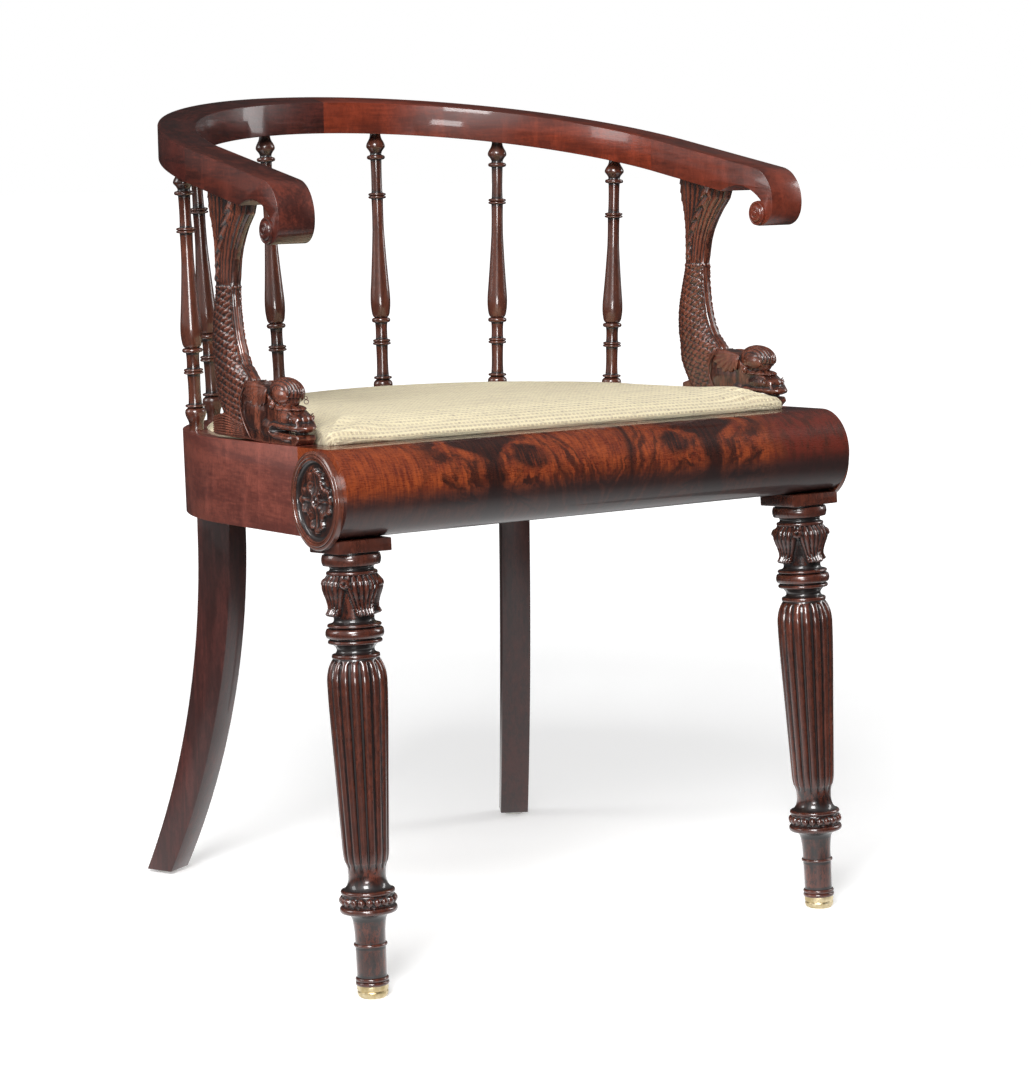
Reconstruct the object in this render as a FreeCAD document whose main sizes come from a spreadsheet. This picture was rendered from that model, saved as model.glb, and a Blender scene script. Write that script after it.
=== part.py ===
import FreeCAD, Part
import math
import os
import Sketcher

# Tub desk chair of turned and carved wood, in millimetres.
# The origin is on the floor under the middle of the chair, +Z is up, +Y is to the back.
# Left and right are the picture's left and right, seen from the front.

DRIVING_SIZES = {
    # seat frame, in the seat's own plane
    "seat_tilt_angle": 2.0,
    "seat_front": 219.0,
    "seat_under": 385.0,
    "rail_height": 75.0,
    "rail_half_width": 260.4,
    "rail_wall": 22.0,
    "rail_ledge": 12.0,
    "rebate_depth": 22.0,
    "rail_widest": 184.0,
    "rail_side_shift": 39.6,
    "rail_back_shift": 33.13,
    "rail_flare_angle": 0.0,
    "nose_centre": -10.0,
    "front_rail_back": 35.0,
    "corner_block_leg": 62.0,
    "corner_block_drop": 8.0,
    "corner_block_gap": 7.0,
    # end roundels
    "roundel_radius": 41.2,
    "roundel_thickness": 5.5,
    "roundel_height": 32.3,
    "roundel_seat_gap": 0.1,
    # front legs
    "front_leg_inset": 22.2,
    "front_leg_forward": 31.0,
    "front_leg_rake_angle": 4.06,
    "front_leg_splay_angle": 0.46,
    "front_leg_block_gap": 9.5,
    "front_leg_radius": 24.9,
    "front_leg_block": 50.0,
    "block_tenon": 28.0,
    "block_tenon_height": 34.0,
    "reed_groove": 1.8,
    "cap_height": 12.0,
    "cap_radius": 13.2,
    "cap_wall": 1.4,
    "cap_floor": 3.2,
    "cap_sole": 1.2,
    # rear legs
    "rear_leg_ray_angle": 46.92,
    "rear_leg_inset": 20.5,
    "rear_leg_turn_angle": 28.4,
    "rear_leg_width": 29.0,
    "rear_leg_foot_depth": 28.5,
    "rear_leg_top_depth": 37.0,
    "rear_leg_sweep": 76.7,
    "rear_leg_straight": 60.0,
    "rear_leg_tenon": 14.0,
    "rear_leg_tenon_height": 26.0,
    "glide_radius": 9.5,
    "glide_height": 3.0,
    # spindles
    "spindle_fan_angle": 73.4,
    "spindle_foot_inset": 11.8,
    "spindle_head_inset": 18.5,
    "spindle_radius": 9.5,
    "spindle_socket": 12.0,
    # crest rail and arms
    "crest_tilt_angle": 9.82,
    "crest_rise": 243.7,
    "crest_overhang": 6.5,
    "crest_set_back": 21.3,
    "crest_side_shift": 35.1,
    "crest_back_shift": 22.7,
    "crest_flare_angle": 1.8,
    "crest_width": 34.5,
    "crest_thickness": 30.0,
    "arm_seam": 15.7,
    "arm_roll_start": -143.0,
    "arm_roll_radius": 32.0,
    "arm_curl_radius": 19.5,
    "arm_eye_radius": 11.5,
    "arm_eye_proud": 1.5,
    "arm_arch_start": -98.0,
    "arm_arch_rise": 10.0,
    # dolphin arm supports
    "support_inset": 10.1,
    "support_spread": 2.2,
    "support_place": 109.0,
    "support_thickness": 19.4,
    "support_crest_overlap": 26.3,
    "support_head_length": 79.5,
    "support_head_height": 56.0,
    "support_fin_length": 72.0,
    "fin_groove": 0.8,
    # drop-in seat
    "seat_clearance": 0.6,
    "seat_rest_gap": 0.3,
    "seat_board": 15.0,
    "seat_rail_width": 55.0,
    "web_width": 50.0,
    "web_thickness": 1.2,
    "web_trim": 4.0,
    "cushion_height": 30.5,
    "cushion_round": 18.0,
    # fits
    "fit_clearance": 0.15,
    "cut_overrun": 20.0,
}

doc = FreeCAD.newDocument("tub_chair")
sheet = doc.addObject("Spreadsheet::Sheet", "sizes")
for row, (name, number) in enumerate(DRIVING_SIZES.items(), start=1):
    sheet.set(f"A{row}", name)
    sheet.set(f"B{row}", str(number))
    sheet.setAlias(f"B{row}", name)
doc.recompute()


class Size:
    """A length or angle that knows its formula on the sheet and its present value."""

    def __init__(self, formula, value):
        self.formula = formula
        self.value = value

    def __float__(self):
        return self.value

    def __add__(self, other):
        return join(self, "+", other, float(self) + float(other))

    def __radd__(self, other):
        return join(other, "+", self, float(other) + float(self))

    def __sub__(self, other):
        return join(self, "-", other, float(self) - float(other))

    def __rsub__(self, other):
        return join(other, "-", self, float(other) - float(self))

    def __mul__(self, other):
        return join(self, "*", other, float(self) * float(other))

    def __rmul__(self, other):
        return join(other, "*", self, float(other) * float(self))

    def __truediv__(self, other):
        return join(self, "/", other, float(self) / float(other))

    def __rtruediv__(self, other):
        return join(other, "/", self, float(other) / float(self))

    def __neg__(self):
        return Size(f"(-{self.formula})", -self.value)


def written(value):
    return value.formula if isinstance(value, Size) else repr(float(value))


def join(left, sign, right, value):
    return Size(f"({written(left)} {sign} {written(right)})", value)


def sine(angle):
    return Size(f"sin({written(angle)})", math.sin(math.radians(float(angle))))


def cosine(angle):
    return Size(f"cos({written(angle)})", math.cos(math.radians(float(angle))))


def root(value):
    return Size(f"sqrt({written(value)})", math.sqrt(float(value)))


def size(name):
    return Size(f"sizes.{name}", float(sheet.get(name)))


def bind(thing, path, value):
    """Set a property from a formula on the sheet."""
    if isinstance(value, Size):
        thing.setExpression(path, value.formula)
    else:
        setattr(thing, path, value)


def vector(x, y, z):
    return FreeCAD.Vector(float(x), float(y), float(z))


X_AXIS = vector(1, 0, 0)
Y_AXIS = vector(0, 1, 0)
Z_AXIS = vector(0, 0, 1)
NO_TURN = FreeCAD.Rotation()


def turned_about(axis, angle):
    return FreeCAD.Rotation(axis, float(angle))


def placed(x, y, z, rotation=NO_TURN):
    return FreeCAD.Placement(vector(x, y, z), rotation)


class Outline:
    """A closed outline of lines and three-point arcs, each point bound to the sheet."""

    def __init__(self, x, y):
        self.points = [(x, y)]
        self.middles = []

    def line(self, x, y):
        self.points.append((x, y))
        self.middles.append(None)
        return self

    def arc(self, middle_x, middle_y, x, y):
        self.points.append((x, y))
        self.middles.append((middle_x, middle_y))
        return self

    def draw(self, body, name, plane, lift=None):
        """Draw the outline as a sketch on one of the body's own planes."""
        sketch = body.newObject("Sketcher::SketchObject", name)
        sketch.AttachmentSupport = (origin_plane(body, plane), [""])
        sketch.MapMode = "FlatFace"
        if lift is not None:
            sketch.AttachmentOffset = placed(0, 0, lift)
            bind(sketch, ".AttachmentOffset.Base.z", lift)
        edges = self.edges()
        sketch.addGeometry(edges, False)
        constraints = []
        bindings = []
        for index in range(len(edges)):
            following = (index + 1) % len(edges)
            end, start = self.ends(index)[1], self.ends(following)[0]
            constraints.append(Sketcher.Constraint("Coincident", index, end, following, start))
        for index, point in enumerate(self.points[:len(edges)]):
            self.fix(constraints, bindings, (index, self.ends(index)[0]), point)
        for index, middle in enumerate(self.middles):
            if middle is not None:
                marker = sketch.addGeometry(Part.Point(vector(middle[0], middle[1], 0)), True)
                constraints.append(Sketcher.Constraint("PointOnObject", marker, 1, index))
                self.fix(constraints, bindings, (marker, 1), middle)
        sketch.addConstraint(constraints)
        for index, formula in bindings:
            sketch.setExpression(f"Constraints[{index}]", formula)
        return sketch

    def edges(self):
        corners = [vector(x, y, 0) for x, y in self.points]
        found = []
        for index, middle in enumerate(self.middles):
            start, end = corners[index], corners[index + 1]
            if middle is None:
                found.append(Part.LineSegment(start, end))
            else:
                found.append(Part.Arc(start, vector(middle[0], middle[1], 0), end))
        return found

    def ends(self, index):
        """The sketch's numbers for an edge's start and end; its arcs always run anticlockwise."""
        if self.middles[index] is None:
            return 1, 2
        (ax, ay), (bx, by) = self.points[index], self.points[index + 1]
        mx, my = self.middles[index]
        turn = (float(mx) - float(ax)) * (float(by) - float(my))
        turn -= (float(my) - float(ay)) * (float(bx) - float(mx))
        return (1, 2) if turn > 0 else (2, 1)

    @staticmethod
    def fix(constraints, bindings, spot, point):
        """Hold the start of an edge, or a marker, at a bound place."""
        for kind, axis, value in (("DistanceX", -2, point[0]), ("DistanceY", -1, point[1])):
            if abs(float(value)) < 1e-9:
                constraints.append(Sketcher.Constraint("PointOnObject", *spot, axis))
            else:
                constraints.append(Sketcher.Constraint(kind, *spot, float(value)))
                if isinstance(value, Size):
                    bindings.append((len(constraints) - 1, value.formula))


def origin_plane(body, role):
    return next(f for f in body.Origin.OriginFeatures if f.Role == role)


def new_body(name):
    return doc.addObject("PartDesign::Body", name)


def pad(body, outline, plane, name, length, symmetric=False, reverse=False, lift=None):
    sketch = outline.draw(body, name + "_sketch", plane, lift)
    feature = body.newObject("PartDesign::Pad", name)
    feature.Profile = sketch
    feature.Midplane = symmetric
    feature.Reversed = reverse
    bind(feature, "Length", length)
    return feature


def pocket(body, outline, plane, name, length, reverse=False, lift=None):
    sketch = outline.draw(body, name + "_sketch", plane, lift)
    feature = body.newObject("PartDesign::Pocket", name)
    feature.Profile = sketch
    feature.Reversed = reverse
    bind(feature, "Length", length)
    return feature


def revolve(body, outline, name):
    """Turn an outline of radius and height round the body's own Z axis."""
    sketch = outline.draw(body, name + "_sketch", "XZ_Plane")
    feature = body.newObject("PartDesign::Revolution", name)
    feature.Profile = sketch
    feature.ReferenceAxis = (sketch, ["V_Axis"])
    feature.Angle = 360
    return feature


def box(name, length, width, height, placement):
    solid = doc.addObject("Part::Box", name)
    bind(solid, "Length", length)
    bind(solid, "Width", width)
    bind(solid, "Height", height)
    solid.Placement = placement
    return solid


def cylinder(name, radius, height, placement):
    solid = doc.addObject("Part::Cylinder", name)
    bind(solid, "Radius", radius)
    bind(solid, "Height", height)
    solid.Placement = placement
    return solid


def ellipsoid(name, across, along, up, placement):
    """A rounded boss given its half sizes along X, Y and Z."""
    solid = doc.addObject("Part::Ellipsoid", name)
    bind(solid, "Radius1", up)
    bind(solid, "Radius2", across)
    bind(solid, "Radius3", along)
    solid.Placement = placement
    return solid


def combine(kind, name, *shapes):
    """Join, cut or intersect shapes with one of the Part booleans."""
    result = doc.addObject(kind, name)
    if kind in ("Part::Cut", "Part::Common"):
        result.Base, result.Tool = shapes
    else:
        result.Shapes = list(shapes)
    return result


def cut_all(name, base, tools):
    tool = tools[0] if len(tools) == 1 else combine("Part::MultiFuse", name + "_cutters", *tools)
    return combine("Part::Cut", name, base, tool)


nodes = {}


def node(name, thing):
    """Name a finished sub-part; its name is its file's name."""
    thing.Label = name
    nodes[name] = thing
    return thing


SIDES = (("left", -1), ("right", 1))


# The horseshoe plan shared by the seat rails, the loose seat, the cushion and the crest rail
class Horseshoe:
    """Straight or flared sides, two side arcs and a back arc, all tangent, with offsets inward."""

    def __init__(self, half_width, widest, side_shift, back_shift, flare):
        self.widest = widest
        self.side_radius = half_width + side_shift
        self.flare = flare
        self.shift = side_shift
        self.back_centre = widest + back_shift
        self.span = root(side_shift * side_shift + back_shift * back_shift)
        self.back_radius = self.side_radius - self.span
        self.back = self.back_centre + self.back_radius

    def outline(self, front, inset, ring=None):
        """The plate inside an inset, or the ring between it and a second one."""
        path = Outline(-self.side_x(front, inset), front)
        self.sweep(path, front, inset, -1)
        if ring is None:
            return path.line(-self.side_x(front, inset), front)
        path.line(self.side_x(front, ring), front)
        self.sweep(path, front, ring, 1)
        return path.line(-self.side_x(front, inset), front)

    def sweep(self, path, front, inset, side):
        """Run round the back from one side to the other; side is the one it starts from."""
        radius = self.side_radius - inset
        start = self.tangent(radius)
        joint = self.joint(inset)
        middle = self.side_middle(radius)
        path.line(side * start[0], start[1])
        path.arc(side * middle[0], middle[1], side * joint[0], joint[1])
        path.arc(0, self.back_centre + self.back_radius - inset, -side * joint[0], joint[1])
        path.arc(-side * middle[0], middle[1], -side * start[0], start[1])
        path.line(-side * self.side_x(front, inset), front)

    def tangent(self, radius):
        x = radius * cosine(self.flare) - self.shift
        return x, self.widest + radius * sine(self.flare)

    def joint(self, inset):
        radius = self.back_radius - inset
        x = radius * self.shift / self.span
        return x, self.back_centre + radius * (self.back_centre - self.widest) / self.span

    def side_middle(self, radius):
        """The point of a side arc half way between its ends."""
        away = (self.back_centre - self.widest) / self.span
        across = self.shift / self.span + cosine(self.flare)
        along = away + sine(self.flare)
        reach = root(across * across + along * along)
        return radius * across / reach - self.shift, self.widest + radius * along / reach

    def side_x(self, front, inset):
        start = self.tangent(self.side_radius - inset)
        return start[0] + (start[1] - front) * sine(self.flare) / cosine(self.flare)

    def on_ray(self, angle, inset, origin_y):
        """Where a ray from the plan's middle, turned from the back, crosses an inset line."""
        run = math.radians(angle)
        step_x, step_y = math.sin(run), math.cos(run)
        back = (0, self.back_centre, self.back_radius - inset)
        side = (-self.shift, self.widest, self.side_radius - inset)
        reach = self.crossing(step_x, step_y, origin_y, *back)
        if origin_y + step_y * reach < float(self.joint(inset)[1]):
            reach = self.crossing(step_x, step_y, origin_y, *side)
        return step_x * reach, origin_y + step_y * reach

    @staticmethod
    def crossing(step_x, step_y, origin_y, centre_x, centre_y, radius):
        from_x = -float(centre_x)
        from_y = origin_y - float(centre_y)
        along = step_x * from_x + step_y * from_y
        apart = from_x ** 2 + from_y ** 2 - float(radius) ** 2
        return -along + math.sqrt(along ** 2 - apart)


# The seat frame lies in a plane that drops a little to the back
seat_turn = turned_about(X_AXIS, -size("seat_tilt_angle"))
seat_frame = placed(0, -size("seat_front"), size("seat_under"), seat_turn)


def in_seat(x, y, z, rotation=NO_TURN):
    """A placement given in the seat frame's own directions."""
    return seat_frame.multiply(placed(x, y, z, rotation))


rail_half = size("rail_half_width")
rail_plan = Horseshoe(rail_half, size("rail_widest"), size("rail_side_shift"),
                      size("rail_back_shift"), size("rail_flare_angle"))
rail_height = size("rail_height")
rail_wall = size("rail_wall")
rail_width = rail_wall + size("rail_ledge")
rail_back_plane = size("front_rail_back")
overrun = size("cut_overrun")
fit = size("fit_clearance")


def make_front_rail_blank():
    """Round-nosed front rail with its rebate for the loose seat."""
    body = new_body("front_rail_blank")
    half = rail_height / 2
    nose = size("nose_centre")
    section = Outline(nose, 0).arc(nose - half, half, nose, rail_height)
    section.line(rail_back_plane, rail_height).line(rail_back_plane, 0).line(nose, 0)
    pad(body, section, "YZ_Plane", "front_rail_pad", rail_half * 2, symmetric=True)
    inner = rail_half - rail_wall
    step = rail_back_plane - size("rail_ledge")
    rebate = Outline(-inner, step).line(inner, step).line(inner, rail_back_plane + overrun)
    rebate.line(-inner, rail_back_plane + overrun).line(-inner, step)
    pocket(body, rebate, "XY_Plane", "front_rebate", size("rebate_depth"), lift=rail_height)
    body.Placement = seat_frame
    return body


def make_ring_blank():
    """The bent part of the seat frame, sides and back in one, before it is split."""
    body = new_body("rail_ring")
    ring = rail_plan.outline(rail_back_plane, 0, rail_width)
    pad(body, ring, "XY_Plane", "rail_ring_pad", rail_height)
    rebate = rail_plan.outline(rail_back_plane - overrun, rail_wall)
    pocket(body, rebate, "XY_Plane", "ring_rebate", size("rebate_depth"), lift=rail_height)
    body.Placement = seat_frame
    return body


# Places worked out once and shared by the pieces that meet there
front_turning = size("seat_under") - size("front_leg_block_gap")
front_leg_places = {
    side: placed(sign * (rail_half - size("front_leg_inset")),
                 -(size("seat_front") + size("front_leg_forward")), 0,
                 turned_about(X_AXIS, -size("front_leg_rake_angle")).multiply(
                     turned_about(Y_AXIS, -sign * size("front_leg_splay_angle"))))
    for side, sign in SIDES
}
sweep_height = size("seat_under") - size("rear_leg_straight")


def rear_leg_place(sign):
    """A rear leg's foot, swept out from where its top stands under the bent rail."""
    angle = float(size("rear_leg_ray_angle"))
    top_x, top_y = rail_plan.on_ray(angle, size("rear_leg_inset"), float(size("seat_front")))
    top = seat_frame.multVec(vector(sign * top_x, top_y, 0))
    turn = size("rear_leg_turn_angle")
    foot_x = top.x + sign * size("rear_leg_sweep") * sine(turn)
    foot_y = top.y + size("rear_leg_sweep") * cosine(turn)
    return placed(foot_x, foot_y, 0, turned_about(Z_AXIS, -sign * turn))


rear_leg_places = {side: rear_leg_place(sign) for side, sign in SIDES}


# Front leg: radius and height shares of the turned part, from the cap up to the block
FRONT_LEG_SHARES = (
    (0.500, 0.032), (0.550, 0.032), (0.550, 0.046), (0.505, 0.050), (0.510, 0.114),
    (0.565, 0.116), (0.565, 0.122), (0.540, 0.126), (0.570, 0.176), (0.950, 0.184),
    (0.965, 0.202), (0.970, 0.228), (0.900, 0.232), (0.890, 0.244), (0.640, 0.262),
    (0.660, 0.296), (0.735, 0.304), (0.775, 0.330), (0.990, 0.685), (0.985, 0.712),
    (0.770, 0.760), (0.790, 0.770), (0.620, 0.776), (0.640, 0.790), (0.905, 0.798),
    (0.965, 0.810), (0.965, 0.824), (0.900, 0.836), (0.680, 0.842), (0.700, 0.856),
    (0.890, 0.864), (0.920, 0.890), (1.000, 0.928), (0.960, 0.944), (0.830, 0.950),
    (0.850, 0.958), (0.730, 0.962), (0.730, 0.968), (0.968, 0.972), (0.968, 1.000),
)
REED_SHARES = ((0.775, 0.325), (0.990, 0.700))
REED_COUNT = 16
CAP_FOOT_SHARE = 0.86


def make_front_leg(side, sign):
    """Turned and reeded front leg with its square block and the tenon above it."""
    body = new_body(f"front_leg_{side}_turning")
    radius = size("front_leg_radius")
    length = front_turning
    spigot = size("cap_radius") - size("cap_wall") - fit
    seat = size("cap_floor") + fit
    first_radius, first_height = FRONT_LEG_SHARES[0]
    profile = Outline(0, seat).line(spigot, seat).line(spigot, size("cap_height") + fit)
    profile.line(first_radius * radius, size("cap_height") + fit)
    for radius_share, height_share in FRONT_LEG_SHARES[1:]:
        profile.line(radius_share * radius, height_share * length)
    profile.line(0, length).line(0, seat)
    revolve(body, profile, f"front_leg_{side}_turned")
    body.Placement = front_leg_places[side]

    low, high = [(share * radius, height * length) for share, height in REED_SHARES]
    run = vector(high[0], 0, high[1]) - vector(low[0], 0, low[1])
    grooves = []
    for index in range(REED_COUNT):
        turn = turned_about(Z_AXIS, 360 * (index + 0.5) / REED_COUNT)
        tip = FreeCAD.Rotation(Z_AXIS, run)
        place = front_leg_places[side].multiply(placed(0, 0, 0, turn))
        place = place.multiply(placed(low[0], 0, low[1], tip))
        span = root((high[0] - low[0]) * (high[0] - low[0])
                    + (high[1] - low[1]) * (high[1] - low[1]))
        grooves.append(cylinder(f"reed_groove_{side}_{index}", size("reed_groove"), span, place))
    reeded = cut_all(f"front_leg_{side}_reeded", body, grooves)

    block = size("front_leg_block")
    corner = placed(-block / 2, -block / 2, length)
    square = box(f"front_block_{side}", block, block, rail_height,
                 front_leg_places[side].multiply(corner))
    squared = combine("Part::Cut", f"front_block_{side}_fitted", square, above_seat)
    tenon = front_tenon(side, f"front_tenon_{side}", 0)
    return combine("Part::MultiFuse", f"front_leg_{side}_whole", reeded, squared, tenon)


def front_tenon(side, name, clearance):
    """The front leg's tenon, or the room for it in the rail when given a clearance."""
    width = size("block_tenon") + 2 * clearance
    corner = placed(-width / 2, -width / 2, front_turning)
    reach = size("block_tenon_height") + clearance
    return box(name, width, width, reach, front_leg_places[side].multiply(corner))


def make_front_cap(side):
    """Brass cap that holds the foot of a front leg, flat where it stands on the floor."""
    body = new_body(f"front_cap_{side}_body")
    outer = size("cap_radius")
    inner = outer - size("cap_wall")
    height = size("cap_height")
    floor = size("cap_floor")
    sole = -size("cap_sole")
    profile = Outline(0, sole).line(outer * CAP_FOOT_SHARE, sole).line(outer, floor)
    profile.line(outer, height).line(inner, height).line(inner, floor).line(0, floor).line(0, sole)
    revolve(body, profile, f"front_cap_{side}_turned")
    body.Placement = front_leg_places[side]
    return combine("Part::Cut", f"front_cap_{side}_flat", body, below_floor)


def rear_tenon(side, name, clearance):
    """The rear leg's tenon, or the room for it in the rail when given a clearance."""
    width = size("rear_leg_tenon") + 2 * clearance
    corner_y = -size("rear_leg_sweep") - width / 2
    reach = size("rear_leg_straight") + size("rear_leg_tenon_height") + clearance
    place = rear_leg_places[side].multiply(placed(-width / 2, corner_y, sweep_height))
    return box(name, width, width, reach, place)


# How far a rear leg's two edges have swept at half its height, as shares of the whole sweep
INNER_SWEEP_SHARE = 0.283
OUTER_SWEEP_SHARE = 0.244


def make_rear_leg(side, sign):
    """Sabre leg: straight at the top, then swept back to the foot in one plane."""
    body = new_body(f"rear_leg_{side}_blank")
    foot = size("rear_leg_foot_depth") / 2
    top = size("rear_leg_top_depth") / 2
    sweep = size("rear_leg_sweep")
    height = sweep_height
    ground = size("glide_height")
    summit = size("seat_under") + rail_height
    inner, outer = -sweep - top, -sweep + top
    path = Outline(-foot, ground).arc(inner + sweep * INNER_SWEEP_SHARE, height / 2, inner, height)
    path.line(inner, summit).line(outer, summit).line(outer, height)
    path.arc(outer + sweep * OUTER_SWEEP_SHARE, height / 2, foot, ground).line(-foot, ground)
    pad(body, path, "YZ_Plane", f"rear_leg_{side}_pad", size("rear_leg_width"), symmetric=True)
    body.Placement = rear_leg_places[side]
    blank = combine("Part::Cut", f"rear_leg_{side}_trimmed", body, above_seat)
    return combine("Part::MultiFuse", f"rear_leg_{side}_whole", blank,
                   rear_tenon(side, f"rear_tenon_{side}", 0))


def make_glide(side):
    return cylinder(f"glide_{side}", size("glide_radius"), size("glide_height"), rear_leg_places[side])


# Spindle: radius and height shares between the seat rail and the crest rail
SPINDLE_SHARES = (
    (0.660, 0.000), (0.700, 0.022), (0.960, 0.050), (0.970, 0.070), (0.640, 0.080),
    (0.950, 0.086), (0.950, 0.096), (0.620, 0.104), (0.620, 0.214), (0.950, 0.222),
    (0.950, 0.234), (0.640, 0.242), (0.650, 0.294), (0.970, 0.300), (0.970, 0.314),
    (0.660, 0.326), (0.700, 0.340), (0.960, 0.362), (1.000, 0.385), (0.960, 0.436),
    (0.740, 0.535), (0.585, 0.635), (0.615, 0.752), (0.950, 0.758), (0.700, 0.7665),
    (0.950, 0.775), (0.570, 0.783), (0.580, 0.898), (0.950, 0.905), (0.950, 0.915),
    (0.620, 0.924), (0.900, 0.934), (0.970, 0.947), (0.800, 0.965), (0.600, 0.980),
    (0.590, 1.000),
)
SPINDLE_FAN_SHARES = (-1.0, -0.585, -0.197, 0.197, 0.585, 1.0)


class Spindle:
    """Where one spindle stands: its foot on the seat rail and its head under the crest."""

    def __init__(self, number, share):
        self.number = number
        angle = float(size("spindle_fan_angle")) * share
        side = 1 if share > 0 else -1
        seat_y = float(size("seat_front"))
        foot_x, foot_y = rail_plan.on_ray(abs(angle), size("spindle_foot_inset"), seat_y)
        self.foot = seat_frame.multVec(vector(side * foot_x, foot_y, rail_height))
        head_x, head_y = crest_plan.on_ray(abs(angle), size("spindle_head_inset"), 0.0)
        tilt = math.radians(float(size("crest_tilt_angle")))
        under = (float(crest_height) - float(size("crest_thickness")) / math.cos(tilt)
                 + (head_y - float(crest_plan.widest)) * math.tan(tilt))
        self.head = vector(side * head_x, head_y, under)
        self.length = (self.head - self.foot).Length
        turn = FreeCAD.Rotation(Z_AXIS, self.head - self.foot)
        self.place = FreeCAD.Placement(self.foot, turn)

    def make(self):
        body = new_body(f"spindle_{self.number}_body")
        radius = size("spindle_radius")
        length = self.length
        socket = size("spindle_socket")
        first = SPINDLE_SHARES[0][0] * radius
        last = SPINDLE_SHARES[-1][0] * radius
        profile = Outline(0, -socket).line(first, -socket)
        for radius_share, height_share in SPINDLE_SHARES:
            if height_share > 0:
                profile.line(radius_share * radius, height_share * length)
            else:
                profile.line(radius_share * radius, 0)
        profile.line(last, length + socket).line(0, length + socket).line(0, -socket)
        revolve(body, profile, f"spindle_{self.number}_turned")
        body.Placement = self.place
        return body

    def socket(self, end):
        """The bore for the spindle's plain end, in the seat rail or in the crest."""
        radius = size("spindle_radius")
        depth = size("spindle_socket") + fit
        if end == "foot":
            place = self.place.multiply(placed(0, 0, -depth))
            name = f"foot_bore_{self.number}"
            return cylinder(name, SPINDLE_SHARES[0][0] * radius + fit, depth + overrun, place)
        place = self.place.multiply(placed(0, 0, self.length - float(overrun)))
        name = f"head_bore_{self.number}"
        return cylinder(name, SPINDLE_SHARES[-1][0] * radius + fit, depth + overrun, place)


# Crest rail and arms: a plan ring and a tilted side profile, crossed
crest_half = rail_half + size("crest_overhang")
crest_height = size("seat_under") + rail_height + size("crest_rise")
crest_widest = size("rail_widest") - size("seat_front") + size("crest_set_back")
crest_plan = Horseshoe(crest_half, crest_widest, size("crest_side_shift"),
                       size("crest_back_shift"), size("crest_flare_angle"))
crest_frame = placed(0, crest_widest, crest_height, turned_about(X_AXIS, size("crest_tilt_angle")))


def make_crest_plan_blank():
    body = new_body("crest_plan_blank")
    front = size("arm_roll_start") - size("arm_roll_radius") - overrun * 2
    ring = crest_plan.outline(front, 0, size("crest_width"))
    floor = size("seat_under") + rail_height
    pad(body, ring, "XY_Plane", "crest_plan_pad", crest_half * 2, lift=floor)
    return body


def make_crest_profile(name):
    """Side view of crest and arm: a straight slab that rolls over into a scroll at the front."""
    body = new_body(name)
    thick = size("crest_thickness")
    roll = size("arm_roll_radius")
    curl = size("arm_curl_radius")
    eye = size("arm_eye_radius")
    start = size("arm_roll_start")
    bend_share = math.sqrt(0.5)
    front = start - roll
    curl_y = front + curl
    foot_z = -roll - curl
    eye_z = foot_z + eye
    back = crest_plan.back + overrun * 2
    path = Outline(back, 0).line(start, 0)
    path.arc(start - roll * bend_share, -roll + roll * bend_share, front, -roll)
    path.arc(curl_y - curl * bend_share, -roll - curl * bend_share, curl_y, foot_z)
    path.arc(curl_y + eye, eye_z, curl_y, eye_z + eye)
    arch_start = size("arm_arch_start")
    path.line(curl_y - eye / 4, eye_z + eye)
    path.arc((arch_start + curl_y) / 2, size("arm_arch_rise") - thick, arch_start, -thick)
    path.line(back, -thick).line(back, 0)
    pad(body, path, "YZ_Plane", name + "_pad", crest_half * 4, symmetric=True)
    body.Placement = crest_frame
    return body


EYE_SHARE = 0.85


def eye_boss(side, sign, face):
    """A button that stands proud on one face of the scroll."""
    eye = size("arm_eye_radius")
    curl_y = size("arm_roll_start") - size("arm_roll_radius") + size("arm_curl_radius")
    eye_z = -size("arm_roll_radius") - size("arm_curl_radius") + eye
    at = crest_frame.multVec(vector(0, curl_y, eye_z))
    inset = 0 if face == "outer" else size("crest_width")
    x = sign * float(crest_plan.side_x(Size("0", at.y), inset))
    proud = float(size("arm_eye_proud"))
    out = sign if face == "outer" else -sign
    turn = turned_about(Y_AXIS, 90 * out)
    return cylinder(f"eye_{side}_{face}", eye * EYE_SHARE, size("arm_eye_proud") * 3,
                    placed(x - out * 2 * proud, at.y, at.z, turn))


def half_space(name, side, sign, behind_seam):
    """A box over one quarter of the plan, used to part the crest."""
    reach = crest_plan.back + crest_half
    x = 0 if sign > 0 else -reach
    seam = crest_widest + size("arm_seam")
    y = seam if behind_seam else seam - reach
    return box(name, reach, reach, reach * 2, placed(x, y, 0))


# Dolphin arm support: middle, height and half depth as shares of its height, then its girth
STEM_SHARES = (
    (0.225, 0.030, 0.130, 0.90), (0.228, 0.110, 0.150, 0.98), (0.222, 0.200, 0.148, 1.02),
    (0.250, 0.290, 0.115, 1.06), (0.263, 0.400, 0.084, 1.06), (0.255, 0.480, 0.066, 1.00),
    (0.242, 0.565, 0.057, 0.96), (0.228, 0.655, 0.070, 0.98), (0.206, 0.735, 0.100, 1.06),
    (0.176, 0.820, 0.155, 1.12), (0.150, 0.960, 0.178, 1.16),
)
STEM_ROUND_SHARE = 0.6
# Back of the head above the fin, as shares of the fin's length and the head's height
NAPE_SHARES = ((1.00, 0.00), (1.00, 0.39), (0.62, 0.39), (0.30, 0.75), (-0.06, 0.86))
# Forehead, lid, muzzle, mouth and chin, as shares of the head's length and height
FACE_SHARES = (
    (0.20, 0.88), (0.42, 0.70), (0.78, 0.68), (0.80, 0.59), (0.70, 0.56), (0.84, 0.47),
    (0.91, 0.34), (0.91, 0.24), (0.34, 0.235), (0.34, 0.195), (0.91, 0.19), (0.93, 0.12),
    (0.86, 0.00),
)
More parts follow.
